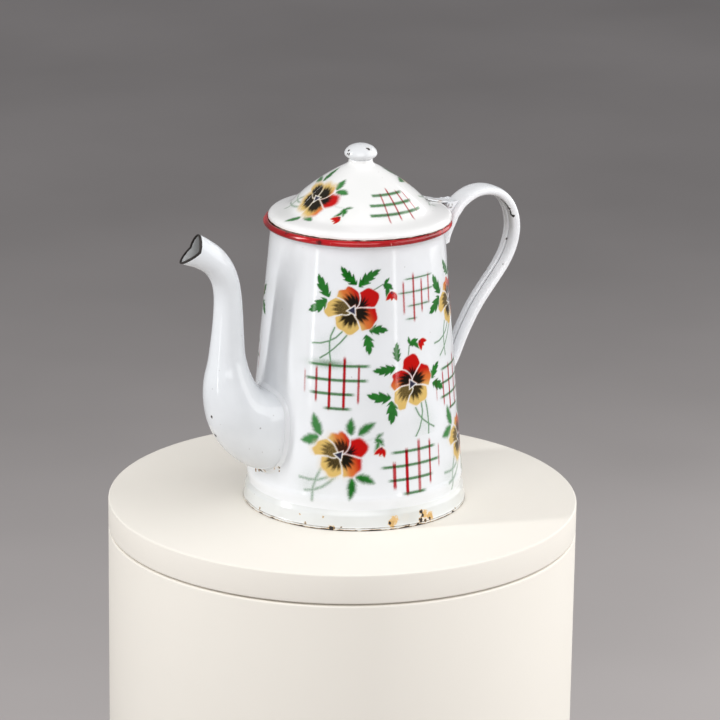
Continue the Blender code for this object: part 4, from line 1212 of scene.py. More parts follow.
# %% Knob
KNOB_BASE = 0.2222
KNOB_RADIUS = 0.0104
KNOB_HEIGHT = 0.0093
STEM_RADIUS = 0.0022
WASHER_SHEET = 0.0008
STEM_HEAD_RADIUS = 0.0033
STEM_HEAD_TOP = NECK_TOP - SHEET - GAP - WASHER_SHEET - GAP
STEM_HEAD_HEIGHT = 0.0013
STEM_HEAD_END = STEM_HEAD_TOP - STEM_HEAD_HEIGHT
# The knob's two whites are darker than the lid's: painted shade
KNOB_WHITE, KNOB_CLOUD = colour(229, 230, 231), colour(220, 222, 224)
KNOB_SHARES = (
    (0.000, 1.000), (0.260, 0.978), (0.500, 0.905), (0.730, 0.780), (0.900, 0.600), (0.985, 0.410),
    (0.990, 0.270), (0.910, 0.130), (0.780, 0.040), (0.690, 0.000),
)

knob_line = smooth_line(np.array(KNOB_SHARES) * (KNOB_RADIUS, KNOB_HEIGHT) + (0.0, KNOB_BASE), 6)
stem_line = [
    (STEM_RADIUS, KNOB_BASE), (STEM_RADIUS, STEM_HEAD_TOP), (STEM_HEAD_RADIUS - 0.2 * MM, STEM_HEAD_TOP),
    (STEM_HEAD_RADIUS, STEM_HEAD_TOP - 0.2 * MM), (STEM_HEAD_RADIUS, STEM_HEAD_END + 0.4 * MM),
    (STEM_HEAD_RADIUS - 0.5 * MM, STEM_HEAD_END), (0.0, STEM_HEAD_END),
]
# The enamel closed the joint under the knob, so its lower edge runs on down into the neck
skirt = np.array([(7.15, -0.2), (7.35, -0.75), (6.6, -0.9), (6.2, 0.0)]) * MM + (0.0, KNOB_BASE)
knob = spin("knob", np.vstack([knob_line, skirt, stem_line]), 128, LID_SET_BACK, closed=False)
knob_chips = [
    (6.7, -7.1, 229.0, 1.5, 1.0, 0.2), (5.6, -7.3, 228.6, 0.8, 1.0, 0.2),
    (-3.5, -1.1, 228.0, 0.8, 1.0, 0.2), (-4.4, -2.8, 225.9, 0.8, 1.0, 0.2),
    (-4.7, -1.2, 226.2, 0.6, 1.0, 0.2), (-2.0, -5.4, 225.8, 0.6, 0.4, 0.2), (14.0, 5.0, 224.5, 0.9, 1.0),
]
dress(knob, enamel("knob_enamel", KNOB_WHITE, KNOB_CLOUD, knob_chips), "lid", "lid_knob")

# %% [markdown]
# ## Hinge and bare metal
# The hinge is small and mostly hidden: a leaf on the brim rolled round a pin, and a bracket with
# two ears on the strap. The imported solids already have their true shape, so they stay and only
# get a softened edge and a real finish. Hands and cloths rub them most, so their enamel is thin,
# with brown and iron showing through in spots.

# %% Hinge leaf and bracket
SOFT_SEGMENTS = 2
SOFT_FROM = math.radians(40)
LEAF_EDGE = 0.12 * MM
BRACKET_EDGE = 0.15 * MM
RUBBED_BROWN = colour(168, 136, 106)
THIN_SPOTS = (190.0, 4.0, (0.50, 0.66), 0.5)
BARE_SPOTS = (420.0, 3.0, (0.66, 0.73), 0.8)


def refinish(node, material, soften):
    """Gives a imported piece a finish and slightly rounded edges. Its mesh stays as it is."""
    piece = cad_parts[node]
    for slot in piece.material_slots:
        slot.material = material
    bevel = piece.modifiers.new("soft_edges", 'BEVEL')
    bevel.width = soften
    bevel.segments = SOFT_SEGMENTS
    bevel.limit_method = 'ANGLE'
    bevel.angle_limit = SOFT_FROM
    print(node, "refinished")


def rubbed_white(tree, tint, place):
    """Enamel rubbed thin: brown shows through in large spots, and iron in small ones."""
    tint = mixed(tree, patches(tree, place, *THIN_SPOTS), tint, RUBBED_BROWN)
    return mixed(tree, patches(tree, place, *BARE_SPOTS), tint, IRON)


hinge_enamel = enamel("hinge_enamel", print_over=rubbed_white, gloss=0.28)
refinish("hinge_leaf", hinge_enamel, LEAF_EDGE)
refinish("hinge_bracket", hinge_enamel, BRACKET_EDGE)

# %% Pin, washer and rim wire
STEEL = colour(142, 138, 132)
STEEL_DARK = colour(92, 86, 80)
STEEL_DENTS = 0.03 * MM
STEEL_GRAIN = 260.0
STEEL_RUST = (120.0, 4.0, (0.52, 0.64))
STEEL_FILM = (300.0, 3.0, (0.62, 0.50))
# How metallic and how rough the steel is, and how much rust takes off the one and adds to the other
STEEL_METALLIC, STEEL_ROUGHNESS = 0.9, 0.38
RUST_DULLING, RUST_ROUGHNESS = 0.8, 0.4
PIN_EDGE = 0.15 * MM
WASHER_EDGE = 0.12 * MM
WIRE_EDGE = 0.05 * MM
# How much of the pin the enamel ran over
PIN_FILM = 0.95


def worn_steel(name, film=0.0):
    """Plain drawn steel gone dull and rusty in places. Film is how much enamel ran over it."""
    material, tree, shader, place = plain_material(name)
    blotch = noise(tree, place, STEEL_GRAIN, 4.0)
    rust = patches(tree, place, *STEEL_RUST)
    covered = patches(tree, place, *STEEL_FILM, film)
    tint = mixed(tree, rust, mixed(tree, blotch, STEEL, STEEL_DARK), RUST)
    feed(tree, shader.inputs["Base Color"], mixed(tree, covered, tint, WHITE))
    bright = maths(tree, 'MULTIPLY_ADD', rust, -RUST_DULLING, STEEL_METALLIC)
    open_part = maths(tree, 'SUBTRACT', 1.0, covered)
    feed(tree, shader.inputs["Metallic"], maths(tree, 'MULTIPLY', bright, open_part))
    rough = maths(tree, 'MULTIPLY_ADD', rust, RUST_ROUGHNESS, STEEL_ROUGHNESS)
    feed(tree, shader.inputs["Roughness"], rough)
    bump = put(tree, 'ShaderNodeBump', {"Height": blotch, "Distance": STEEL_DENTS})
    feed(tree, shader.inputs["Normal"], bump.outputs["Normal"])
    return material


steel = worn_steel("worn_steel")
refinish("hinge_pin", worn_steel("pin_steel", PIN_FILM), PIN_EDGE)
refinish("knob_washer", steel, WASHER_EDGE)
refinish("rim_wire", steel, WIRE_EDGE)

# %% [markdown]
# ## Stencilled pansies and checks
# Such pots were sprayed with coloured enamel through cut stencils and fired again: first the
# soft parts, then the sharper dark ones. So every motif has clean cut edges with a breath of
# overspray, and gaps between its petals where the stencil's bridges were. A picture could be
# wrapped on, but it would blur. Here each motif is a few soft shapes worked out on a fine grid of
# points that lies on the enamel, thin as the real film. The numbers are stored on the points,
# and the material turns them into colour. The flowers and checks are the usual stock of such
# stencils, drawn here from plain petals, leaves and bars.

# %% Soft shapes
# How much a leaf's spine bows, as a share of its length
LEAF_BOW = 0.05


def step(value, start, end):
    """0 at the start value, 1 at the end value, and a soft slope between."""
    t = np.clip((value - start) / (end - start), 0.0, 1.0)
    return t * t * (3 - 2 * t)


def brush(u, v, points, half_width, soft=0.3):
    """A soft line through points, in millimetres."""
    cover = np.zeros_like(u)
    for (ax, ay), (bx, by) in zip(points, points[1:]):
        length = math.hypot(bx - ax, by - ay)
        t = np.clip(((u - ax) * (bx - ax) + (v - ay) * (by - ay)) / length ** 2, 0.0, 1.0)
        gap = np.hypot(u - ax - (bx - ax) * t, v - ay - (by - ay) * t)
        cover = np.maximum(cover, step(gap, half_width + soft, half_width - soft))
    return cover


def leaf(u, v, base, tip, half_width, teeth, detail=1.0):
    """How far points are inside a leaf's edge, in millimetres. Detail is how deep its teeth are."""
    length = math.hypot(tip[0] - base[0], tip[1] - base[1])
    ahead = ((tip[0] - base[0]) / length, (tip[1] - base[1]) / length)
    t = ((u - base[0]) * ahead[0] + (v - base[1]) * ahead[1]) / length
    along = np.clip(t, 0.0, 1.0)
    spine = LEAF_BOW * length * np.sin(math.pi * along)
    beside = (v - base[1]) * ahead[0] - (u - base[0]) * ahead[1] - spine
    body = np.sin(math.pi * along ** 0.8) ** 0.8
    phase = teeth * (t - 0.5 * abs(beside) / length) + np.where(beside > 0, 0.3, 0.7)
    saw = 0.91 + detail * (0.62 * (phase % 1.0) ** 0.8 - 0.31)
    past = np.maximum(-t, t - 1.0).clip(0.0) * length
    return half_width * body * saw - abs(beside) - past


print("soft shapes ready")

# %% Pansy: the shapes cut in its stencil
# The stencil's bridges part the petals. Each is an angle in degrees at four radii, because it
# bends on its way out. A petal's reach is given in five places, from one bridge to the next
BRIDGE_RADII = (3.0, 7.0, 12.0, 17.0)
BRIDGES = (
    (30, 15, 8, 6), (32, 50, 71, 82), (130, 131, 141, 153), (232, 203, 200, 200), (292, 297, 294, 291),
)
# Reach in millimetres, share of the dark blotch, its depth, and how much redder it is
PETALS = (
    ((14.3, 18.2, 18.6, 15.3, 12.6), 0.52, 1.00, 0.30),
    ((12.4, 14.9, 14.2, 14.4, 13.4), 0.64, 0.95, 0.02),
    ((13.4, 15.4, 16.6, 17.8, 16.4), 0.66, 0.78, -0.30),
    ((12.0, 13.8, 14.6, 15.2, 12.6), 0.64, 0.92, -0.16),
    ((14.6, 15.6, 16.4, 15.8, 14.8), 0.58, 1.00, -0.14),
)
# Base, tip, half width, teeth and paleness
LEAVES = (
    ((2.4, 16.0), (-7.6, 27.3), 3.1, 4.0, 0.0), ((3.6, 14.7), (17.1, 25.5), 3.1, 4.0, 0.0),
    ((-14.7, 7.4), (-22.1, 21.4), 3.4, 3.0, 0.15), ((-16.1, 6.1), (-28.5, -2.6), 3.6, 3.0, 0.2),
    ((10.5, -12.6), (22.7, -13.2), 2.9, 3.0, 0.0), ((8.8, -15.2), (10.9, -28.1), 3.1, 3.0, 0.0),
)
STEMS = (
    ((-10.9, -11.3), (-13.2, -16.5), (-14.0, -21.2), (-13.9, -27.0), (-13.2, -32.5)),
    ((-6.0, -13.4), (-10.0, -17.5), (-14.5, -20.0), (-20.0, -21.8), (-25.3, -22.2)),
    ((-3.2, -15.6), (-6.6, -19.8), (-11.0, -24.2), (-15.4, -28.0), (-20.1, -31.2)),
)
# The leaning flower's second leaf is smaller
LEANING_LEAVES = (LEAVES[0], ((6.2, 16.8), (16.1, 24.7), 2.5, 4.0, 0.0), *LEAVES[2:])
MISTY_LEAVES = (
    ((3.8, 14.2), (1.1, 24.8), 3.0, 3.0, 0.1), ((8.1, 15.3), (16.5, 25.4), 2.9, 3.0, 0.1),
    ((-14.6, 8.3), (-23.0, 20.4), 3.5, 3.0, 0.4), ((-15.7, 7.3), (-26.7, 0.4), 3.6, 3.0, 0.4),
    ((13.3, -10.6), (26.5, -11.9), 3.0, 3.0, -0.1), ((11.2, -11.8), (13.8, -26.0), 3.0, 3.0, -0.1),
)
MISTY_STEMS = (
    ((-8.5, -10.8), (-10.5, -19.2), (-10.8, -25.9), (-9.2, -33.5)),
    ((-0.2, -12.6), (-4.6, -16.8), (-8.5, -19.3), (-14.6, -21.4), (-21.0, -22.4)),
    ((1.4, -13.6), (-1.8, -19.0), (-5.4, -23.2), (-10.2, -26.8), (-15.3, -29.1)),
)
LID_LEAVES = (
    ((2.4, 14.5), (-5.0, 22.5), 3.0, 4.0, 0.0), ((3.6, 14.0), (12.6, 18.4), 2.9, 4.0, 0.0),
    ((-16.0, 6.0), (-23.6, 19.4), 3.2, 3.0, -0.3), ((-17.4, 4.4), (-28.8, -3.6), 3.2, 3.0, -0.1),
    ((10.5, -12.6), (19.7, -9.2), 2.9, 3.0, 0.1), ((8.8, -15.2), (10.9, -27.1), 2.9, 3.0, 0.0),
)
BUD_STEM = ((12.5, 12.5), (15.7, 14.2), (18.6, 15.9), (21.0, 15.8))
BUD_GREEN = (
    ((18.9, 15.8), (25.6, 12.4), 1.9), ((20.6, 17.2), (21.4, 6.6), 1.6), ((19.8, 14.6), (22.9, 20.0), 1.3),
)
BUD_PETALS = (
    ((25.2, 11.2), (20.8, 5.6), 1.9), ((24.6, 10.8), (28.2, 5.0), 1.8), ((24.8, 11.4), (24.5, 5.2), 1.7),
)
BUD_EYE = (24.6, 10.2)
BUD_EYE_FADE = (1.1, 0.5)
BUD_EYE_STRENGTH = 0.8
BUD_STEM_HALF_WIDTH = 0.35
# The strength of the bud's stem where it is blurred by 1 mm, and its blur as a share of the leaves'
BUD_STEM_STRENGTH = 0.36
BUD_STEM_BLUR = 0.75
print("a pansy has", len(PETALS), "petals and", len(LEAVES), "leaves")

# %% Pansy: its petals and its eye
INKS = ("petal", "redness", "dark", "leaf", "paleness", "eye", "red_bar")
# All lengths are in millimetres
PETAL_GAP = 0.85
# Of a petal's outline: its ripples and how far its corners are rounded off
RIPPLE = 0.35
ROUNDING = 1.6
# How strong the overspray is, and how far it reaches past the gap
OVERSPRAY = 0.16
OVERSPRAY_REACH = 0.9
# The flower's reach, and over how much of it the red deepens
FLOWER_REACH = 16.0
RED_DEEPENING = 1.12
# The yellow sprayed past the outline: how it fades in from outside and from the flower's middle,
# and over how much of the reach it fades out towards the red side
HALO_FADE = (-4.5, 1.5)
HALO_FROM = (5.0, 10.0)
HALO_END = 0.5
# The feathers of a blotch: half waves across a petal, their length and where they start
STREAKS = ((9, 1.0, 0.4), (17, 0.5, 0.0))
BLOTCH_FADE = (-2.6, 1.6)
EYE_REACH = 1.5
EYE_CORNERS = np.radians((5, 125, 245))
EYE_SOFT = 0.35
# The bare ring round the eye: how far past the eye it starts and is full, and its strength
RING_START, RING_FULL = 1.0, 0.4
RING_STRENGTH = 0.85


def lay(ink, name, cover):
    """Lays a cover in one ink, where it is stronger than what is there."""
    ink[name] = np.maximum(ink[name], cover)


def petal_shape(radius, angle, start, end, reach):
    """The way across one petal, from 0 to 1, and how far points are inside its outline and sides."""
    past, span = (angle - start) % FULL_TURN, end - start
    way = np.clip(past / np.maximum(span, 0.01), 0.0, 1.0)
    curve = smooth_line([[value] for value in reach], 8)[:, 0]
    outline = np.interp(way, np.linspace(0.0, 1.0, len(curve)), curve)
    outline += RIPPLE * np.cos(6 * math.pi * way) - ROUNDING * (2 * way - 1) ** 6
    outer = -np.minimum(past - span, FULL_TURN - past)
    nearest = np.where(past < span, np.minimum(past, span - past), outer)
    return way, outline - radius, nearest * radius - PETAL_GAP / 2


def lay_petals(ink, u, v, red_from, red_start, look):
    """The petals with their overspray, their redness, and dark blotches that run out in feathers."""
    radius, angle = np.hypot(u, v), np.arctan2(v, u)
    across = (u * math.cos(red_from) + v * math.sin(red_from)) / FLOWER_REACH
    bends = [np.radians(np.interp(radius, BRIDGE_RADII, bridge)) for bridge in BRIDGES]
    ends = bends[1:] + [bends[0] + FULL_TURN]
    for start, end, (reach, share, depth, redder) in zip(bends, ends, PETALS):
        way, inside, side = petal_shape(radius, angle, start, end, reach)
        petal = np.minimum(step(side, -look["soft"], look["soft"]), step(inside, -look["rim"], look["rim"]))
        haze = OVERSPRAY * step(np.minimum(inside, side), -PETAL_GAP - OVERSPRAY_REACH, 0.0)
        glow = np.where(side >= -PETAL_GAP / 2, step(inside, *HALO_FADE) * step(radius, *HALO_FROM), 0.0)
        yellow = 1 - step(across + redder, red_start, red_start + HALO_END)
        haze = np.maximum(haze, look["halo"] * yellow * glow)
        red = step(across + redder, red_start, red_start + RED_DEEPENING)
        ink["redness"] = np.where(petal > ink["petal"], red, ink["redness"])
        lay(ink, "petal", np.maximum(petal, haze))
        streaks = sum(size * np.cos(count * math.pi * way + first) for count, size, first in STREAKS)
        feather = reach[2] * share * look["spread"] * (0.78 + 0.22 * np.sin(math.pi * way))
        blotch = step(feather + look["feathers"] * streaks - radius, *BLOTCH_FADE)
        lay(ink, "dark", min(1.0, depth * look["blotch"]) * petal * blotch)


def lay_eye(ink, u, v):
    """The three-cornered eye, with a bare ring round it."""
    corner = np.max([u * math.cos(turn) + v * math.sin(turn) for turn in EYE_CORNERS], axis=0)
    lay(ink, "eye", step(corner, EYE_REACH + EYE_SOFT, EYE_REACH - EYE_SOFT))
    ring = step(corner, EYE_REACH + RING_START, EYE_REACH + RING_FULL)
    ink["dark"] *= 1 - ring
    ink["petal"] *= 1 - RING_STRENGTH * ring


print("inks", INKS)

# %% Pansy: its leaves, its bud and the whole flower
# How blurred the cuts, the outline and the leaves are, in millimetres, how much paler the leaves
# are, the yellow sprayed past the outline, how dark the blotches are, how far they reach and how
# much they run out in feathers
PLAIN_LOOK = {
    "soft": 0.4, "rim": 0.4, "leaf_soft": 0.4, "pale": 0.0, "halo": 0.0, "blotch": 1.0, "spread": 1.0,
    "feathers": 1.0,
}
# A leaf that is blurred by more than this has shallower teeth
TOOTH_BLUR = 0.6
# The breath of green round a leaf, and how far it reaches
LEAF_BREATH, LEAF_BREATH_REACH = 0.08, 2.2
# A stem's strength, half width and paleness, and the breath of green round it
STEM_STRENGTH, STEM_HALF_WIDTH, STEM_PALENESS = 0.9, 0.5, 0.5
STEM_BREATH, STEM_BREATH_HALF_WIDTH = 0.13, 1.5
# The mist of green about the stems
MIST_PLACE = (-14.0, -24.0)
MIST_SPREAD = 6.0
MIST_STRENGTH = 0.14
# How strongly a petal hides the leaves under it
PETAL_HIDING = 1.3


def lay_leaves(ink, u, v, leaves, stems, look):
    """The leaves and stems, with a breath of green round them."""
    soft = look["leaf_soft"]
    for base, tip, half_width, teeth, paler in leaves:
        inside = leaf(u, v, base, tip, half_width, teeth, min(1.0, TOOTH_BLUR / soft))
        cover = step(inside, -soft, soft)
        lay(ink, "leaf", np.maximum(cover, LEAF_BREATH * step(inside, -LEAF_BREATH_REACH, 0.0)))
        lay(ink, "paleness", (paler + look["pale"]) * cover)
    for stem in stems:
        breath = brush(u, v, stem, STEM_BREATH_HALF_WIDTH, STEM_BREATH_HALF_WIDTH)
        cover = np.maximum(STEM_STRENGTH * brush(u, v, stem, STEM_HALF_WIDTH, soft), STEM_BREATH * breath)
        lay(ink, "leaf", cover)
        lay(ink, "paleness", STEM_PALENESS * cover)
    from_mist = (u - MIST_PLACE[0]) ** 2 + (v - MIST_PLACE[1]) ** 2
    lay(ink, "leaf", MIST_STRENGTH * np.exp(-from_mist / 2 / MIST_SPREAD ** 2))


def lay_bud(ink, u, v, look):
    """The small red bud that hangs from a stem of its own."""
    soft = look["leaf_soft"]
    stem = brush(u, v, BUD_STEM, BUD_STEM_HALF_WIDTH, BUD_STEM_BLUR * soft)
    lay(ink, "leaf", BUD_STEM_STRENGTH / soft * stem)
    for base, tip, half_width in BUD_GREEN:
        lay(ink, "leaf", step(leaf(u, v, base, tip, half_width, 1.0), -soft, soft))
    for base, tip, half_width in BUD_PETALS:
        cover = step(leaf(u, v, base, tip, half_width, 1.0, 0.0), -look["soft"], look["soft"])
        lay(ink, "redness", cover)
        lay(ink, "petal", cover)
    lay(ink, "eye", BUD_EYE_STRENGTH * step(np.hypot(u - BUD_EYE[0], v - BUD_EYE[1]), *BUD_EYE_FADE))


def pansy(u, v, red_from, red_start, leaves=LEAVES, stems=STEMS, bud=(0.0, 0.0), **changes):
    """A pansy's inks at points given in millimetres from its middle.

    Red_from is the direction of its red side in radians, in the motif's own turn, and red_start
    is where along it the red sets in. Bud shifts its bud. Changes are what isn't as in the plain
    look.
    """
    ink = {name: np.zeros_like(u) for name in INKS}
    look = PLAIN_LOOK | changes
    lay_petals(ink, u, v, red_from, red_start, look)
    lay_eye(ink, u, v)
    lay_leaves(ink, u, v, leaves, stems, look)
    lay_bud(ink, u - bud[0], v - bud[1], look)
    ink["leaf"] *= 1 - np.minimum(1.0, PETAL_HIDING * ink["petal"])
    return ink


print("the plain look", PLAIN_LOOK)

# %% Check
# Red uprights: place, low end, high end, width and strength. Green bars: height and two ends.
# All but the strengths are in millimetres
FULL_UPRIGHTS = (
    (-21, -8, 7, 1.2, 0.5), (-13, -13, 10, 1.6, 0.9), (-4.3, -17.5, 13, 1.9, 1), (4.9, -17, 17, 1.9, 1),
    (13.9, -13, 12, 1.5, 0.9), (23, -6.5, 9, 1.2, 0.7),
)
FULL_BARS = ((10.8, -15, 19), (1.8, -22, 23), (-7, -17.5, 16), (-16.2, -8, 10))
MISTY_BARS = ((11.0, -19, 21), (1.8, -21, 20), (-7, -17.5, 12), (-16.2, -8, 10))
BOLD_UPRIGHTS = (
    (-13, -13, 5, 2.3, 0.95), (-4.3, -17.5, 13, 2.2, 1), (4.9, -17, 17.5, 2.2, 0.8),
    (13.9, -13, 16, 1.5, 0.95), (22.4, -4, 11, 1.1, 0.7),
)
THIN_UPRIGHTS = (
    (-8.6, -9.9, 11.1, 1.1, 0.8), (-1.1, -15.5, 15.5, 1.2, 0.9), (5.4, -10.5, 11.3, 1.1, 0.9),
    (11.7, -5.7, 13.3, 1.1, 0.8),
)
THIN_BARS = ((12, -8, 16), (3.6, -13, 17), (-5, -6.5, 13), (-13.1, -8, 1))
LID_UPRIGHTS = (
    (-4.5, -13.5, 10, 1.0, 0.8), (2.5, -12, 13.5, 1.1, 0.9), (10.3, -13.5, 10.5, 1.1, 0.9),
    (16.3, -9, 8.5, 1.0, 0.8),
)
LID_BARS = ((8.2, -9.8, 13.8), (0.5, -14.2, 18.8), (-6.7, -16.8, 24.1))
# The breath of green at the top bar: its middle from the bar's left end, and its spread
BREATH_PLACE = (14.0, 0.8)
BREATH_SPREAD = (11.0, 2.6)
UPRIGHT_SOFT, BAR_SOFT = 0.3, 0.4
# How far an upright fades past its ends and before them, and the same at a bar's right end
UPRIGHT_ENDS = (1.0, 2.5)
BAR_END = (1.5, 3.5)
# How far a bar fades before its left end, as a share of its taper
BAR_START = 0.4
# A bar's strength and paleness, and the breath of green beside it
BAR_STRENGTH, BAR_PALENESS = 0.9, 0.15
BAR_BREATH, BAR_BREATH_FADE = 0.10, (2.6, 0.8)


def check(u, v, uprights, bars, bar_width=1.6, bold=1.0, fan=0.0, taper=3.5, mist=0.0):
    """A check's inks at points given in millimetres from its middle.

    Bold widens its uprights, and the fan spreads them downwards, per millimetre. Taper is how
    far the bars fade in from their left ends, and mist is a breath of green at the top one.
    """
    ink = {name: np.zeros_like(u) for name in INKS}
    past, before = UPRIGHT_ENDS
    for place, low_end, high_end, width, strength in uprights:
        half_width = width * bold / 2
        cover = step(abs(u - place * (1 - fan * v)), half_width + UPRIGHT_SOFT, half_width - UPRIGHT_SOFT)
        ends = step(v, low_end - past, low_end + before) * step(v, high_end + past, high_end - before)
        lay(ink, "red_bar", strength * cover * ends)
    past, before = BAR_END
    for level, left, right in bars:
        cover = step(abs(v - level), bar_width / 2 + BAR_SOFT, bar_width / 2 - BAR_SOFT)
        cover = np.maximum(cover * BAR_STRENGTH, BAR_BREATH * step(abs(v - level), *BAR_BREATH_FADE))
        ends = step(u, left - BAR_START * taper, left + taper) * step(u, right + past, right - before)
        lay(ink, "leaf", cover * ends)
    top, left = bars[0][:2]
    across = (u - left - BREATH_PLACE[0]) / BREATH_SPREAD[0]
    above = (v - top - BREATH_PLACE[1]) / BREATH_SPREAD[1]
    lay(ink, "leaf", mist * np.exp(-across ** 2 - above ** 2))
    ink["paleness"][:] = BAR_PALENESS
    return ink


print("check sizes: full", len(FULL_UPRIGHTS), "thin", len(THIN_UPRIGHTS), "lid", len(LID_UPRIGHTS))

# %% Laying motifs on the wall and the lid
FILM = 0.035 * MM
CELL = 0.48
HALF_SPAN = 34.0
FAINT = 0.006

wall_rows = wall_line()[::-1]
lid_run = np.concatenate([[0.0], np.cumsum(np.hypot(*np.diff(lid_line, axis=0).T))])


def wall_profile(level):
    """Radius and height on the wall, from a height."""
    return np.interp(level, wall_rows[:, 1], wall_rows[:, 0]), level


def lid_profile(level):
    """Radius and height on the lid, from the way up its curve from the brim's edge."""
    run = lid_run[-1] - level
    return np.interp(run, lid_run, lid_line[:, 0]), np.interp(run, lid_run, lid_line[:, 1])


def lay_motifs(motifs, rows, columns, radius):
    """The inks of rows of motif, angle, level, turn and size, on one grid, so they can meet."""
    ink = {name: np.zeros(radius.shape) for name in INKS}
    for motif, angle, level, turn, size in motifs:
        swing = (columns - math.radians(angle) + math.pi) % FULL_TURN - math.pi
        u = swing[None, :] * radius / MM
        v = np.repeat((rows[:, None] - level) / MM, len(columns), axis=1)
        near = np.where((abs(u) < HALF_SPAN) & (abs(v) < HALF_SPAN))
        c, s = math.cos(turn) / size, math.sin(turn) / size
        found = motif(u[near] * c + v[near] * s, v[near] * c - u[near] * s)
        on_top = found["petal"] >= ink["petal"][near]
        for name in INKS:
            here = ink[name][near]
            stronger = on_top if name == "redness" else found[name] > here
            ink[name][near] = np.where(stronger, found[name], here)
    return ink


def stencil(title, body, profile, levels, sides, motifs, material, set_back=0.0):
    """One film over part of a turned piece. Levels and sides are its range in metres and degrees."""
    rows = np.arange(levels[0], levels[1], CELL * MM)
    radii, heights = profile(rows)
    columns = np.radians(np.arange(sides[0], sides[1], math.degrees(CELL * MM / radii.max())))
    radius = np.repeat(radii[:, None], len(columns), axis=1)
    ink = lay_motifs(motifs, rows, columns, radius)
    total = sum(ink[name] for name in INKS if name not in ("redness", "paleness")).ravel()
    quads = four_sided(np.arange(radius.size).reshape(radius.shape))
    kept = quads[total[quads].max(axis=1) > FAINT]
    used, faces = np.unique(kept, return_inverse=True)
    reach = radius + FILM
    points = np.stack([reach * np.cos(columns) + AXIS_X + set_back, reach * np.sin(columns),
                       np.repeat(heights[:, None], len(columns), axis=1) + FILM / 2], axis=-1)
    mesh = bpy.data.meshes.new(title)
    mesh.from_pydata(points.reshape(-1, 3)[used].tolist(), [], faces.reshape(-1, 4).tolist())
    layers = np.stack([ink[name].ravel()[used] for name in INKS] + [0 * total[used]], axis=1)
    for half in range(2):
        layer = mesh.attributes.new(f"ink_{half + 1}", 'FLOAT_COLOR', 'POINT')
        layer.data.foreach_set("color", layers[:, 4 * half:4 * half + 4].ravel())
    corners = np.empty(len(mesh.loops), dtype=int)
    mesh.loops.foreach_get("vertex_index", corners)
    flat = np.stack(np.unravel_index(used, radius.shape)[::-1], axis=1) / (radius.shape[1], radius.shape[0])
    mesh.uv_layers.new(name="OFBake").data.foreach_set("uv", flat[corners].ravel())
    mesh.shade_smooth()
    mesh.materials.append(material)
    film = link(title, mesh)
    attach(film, body)
    print(title, len(kept), "faces,", len(motifs), "motifs")


print("film", FILM / MM, "mm thick, cell", CELL, "mm")

# %% Inks into colours
AIRBRUSH_GRAIN = 1500.0
GRAIN_DEPTH = 3.2
LEAF_PATCHES = (180.0, 3.0, (0.3, 0.7))
LEAF_DARK, LEAF_GREEN, LEAF_PALE = colour(6, 88, 8), colour(20, 110, 20), colour(84, 144, 88)
BAR_RED, BAR_CROSSING = colour(176, 8, 22), colour(70, 14, 8)
PETAL_YELLOW, PETAL_ORANGE, PETAL_RED = colour(216, 182, 106), colour(208, 108, 48), colour(188, 8, 4)
BLOTCH_OLIVE, BLOTCH_BLACK = colour(26, 20, 4), colour(10, 2, 1)
EYE_BLUE = colour(44, 44, 66)


def make_airbrush():
    """A sprayed edge: a cover between 0 and 1 breaks up into a fine grain."""
    group, given, gives = new_group("airbrush", {"Position": (0, 0, 0), "Cover": 0.0}, ["Cover"])
    grain = jitter(group, given["Position"], AIRBRUSH_GRAIN, 2.0, GRAIN_DEPTH)
    half_covered = maths(group, 'MULTIPLY', given["Cover"], maths(group, 'SUBTRACT', 1.0, given["Cover"]))
    feed(group, gives["Cover"], maths(group, 'MULTIPLY_ADD', half_covered, grain, given["Cover"]))
    return group


airbrush = make_airbrush()


def stencil_inks(tree, tint, place):
    """Lays the stored inks over the white, as thin sprayed layers with a fine grain."""
    first = put(tree, 'ShaderNodeAttribute', attribute_name="ink_1").outputs
    second = put(tree, 'ShaderNodeAttribute', attribute_name="ink_2").outputs
    petal, redness, dark = put(tree, 'ShaderNodeSeparateColor', {"Color": first["Color"]}).outputs
    paleness, eye, red_bar = put(tree, 'ShaderNodeSeparateColor', {"Color": second["Color"]}).outputs
    petal, dark, eye, red_bar, green = (
        use(tree, airbrush, Position=place, Cover=cover)["Cover"]
        for cover in (petal, dark, eye, red_bar, first["Alpha"]))
    patchy = mixed(tree, patches(tree, place, *LEAF_PATCHES), LEAF_DARK, LEAF_GREEN)
    tint = mixed(tree, green, tint, mixed(tree, paleness, patchy, LEAF_PALE))
    tint = mixed(tree, red_bar, tint, mixed(tree, green, BAR_RED, BAR_CROSSING))
    warm = mixed(tree, ramp(tree, redness, 0.0, 0.5), PETAL_YELLOW, PETAL_ORANGE)
    warm = mixed(tree, ramp(tree, redness, 0.5, 1.0), warm, PETAL_RED)
    tint = mixed(tree, petal, tint, warm)
    tint = mixed(tree, dark, tint, mixed(tree, redness, BLOTCH_OLIVE, BLOTCH_BLACK))
    return mixed(tree, eye, tint, EYE_BLUE)


print("airbrush has", len(airbrush.nodes), "nodes")

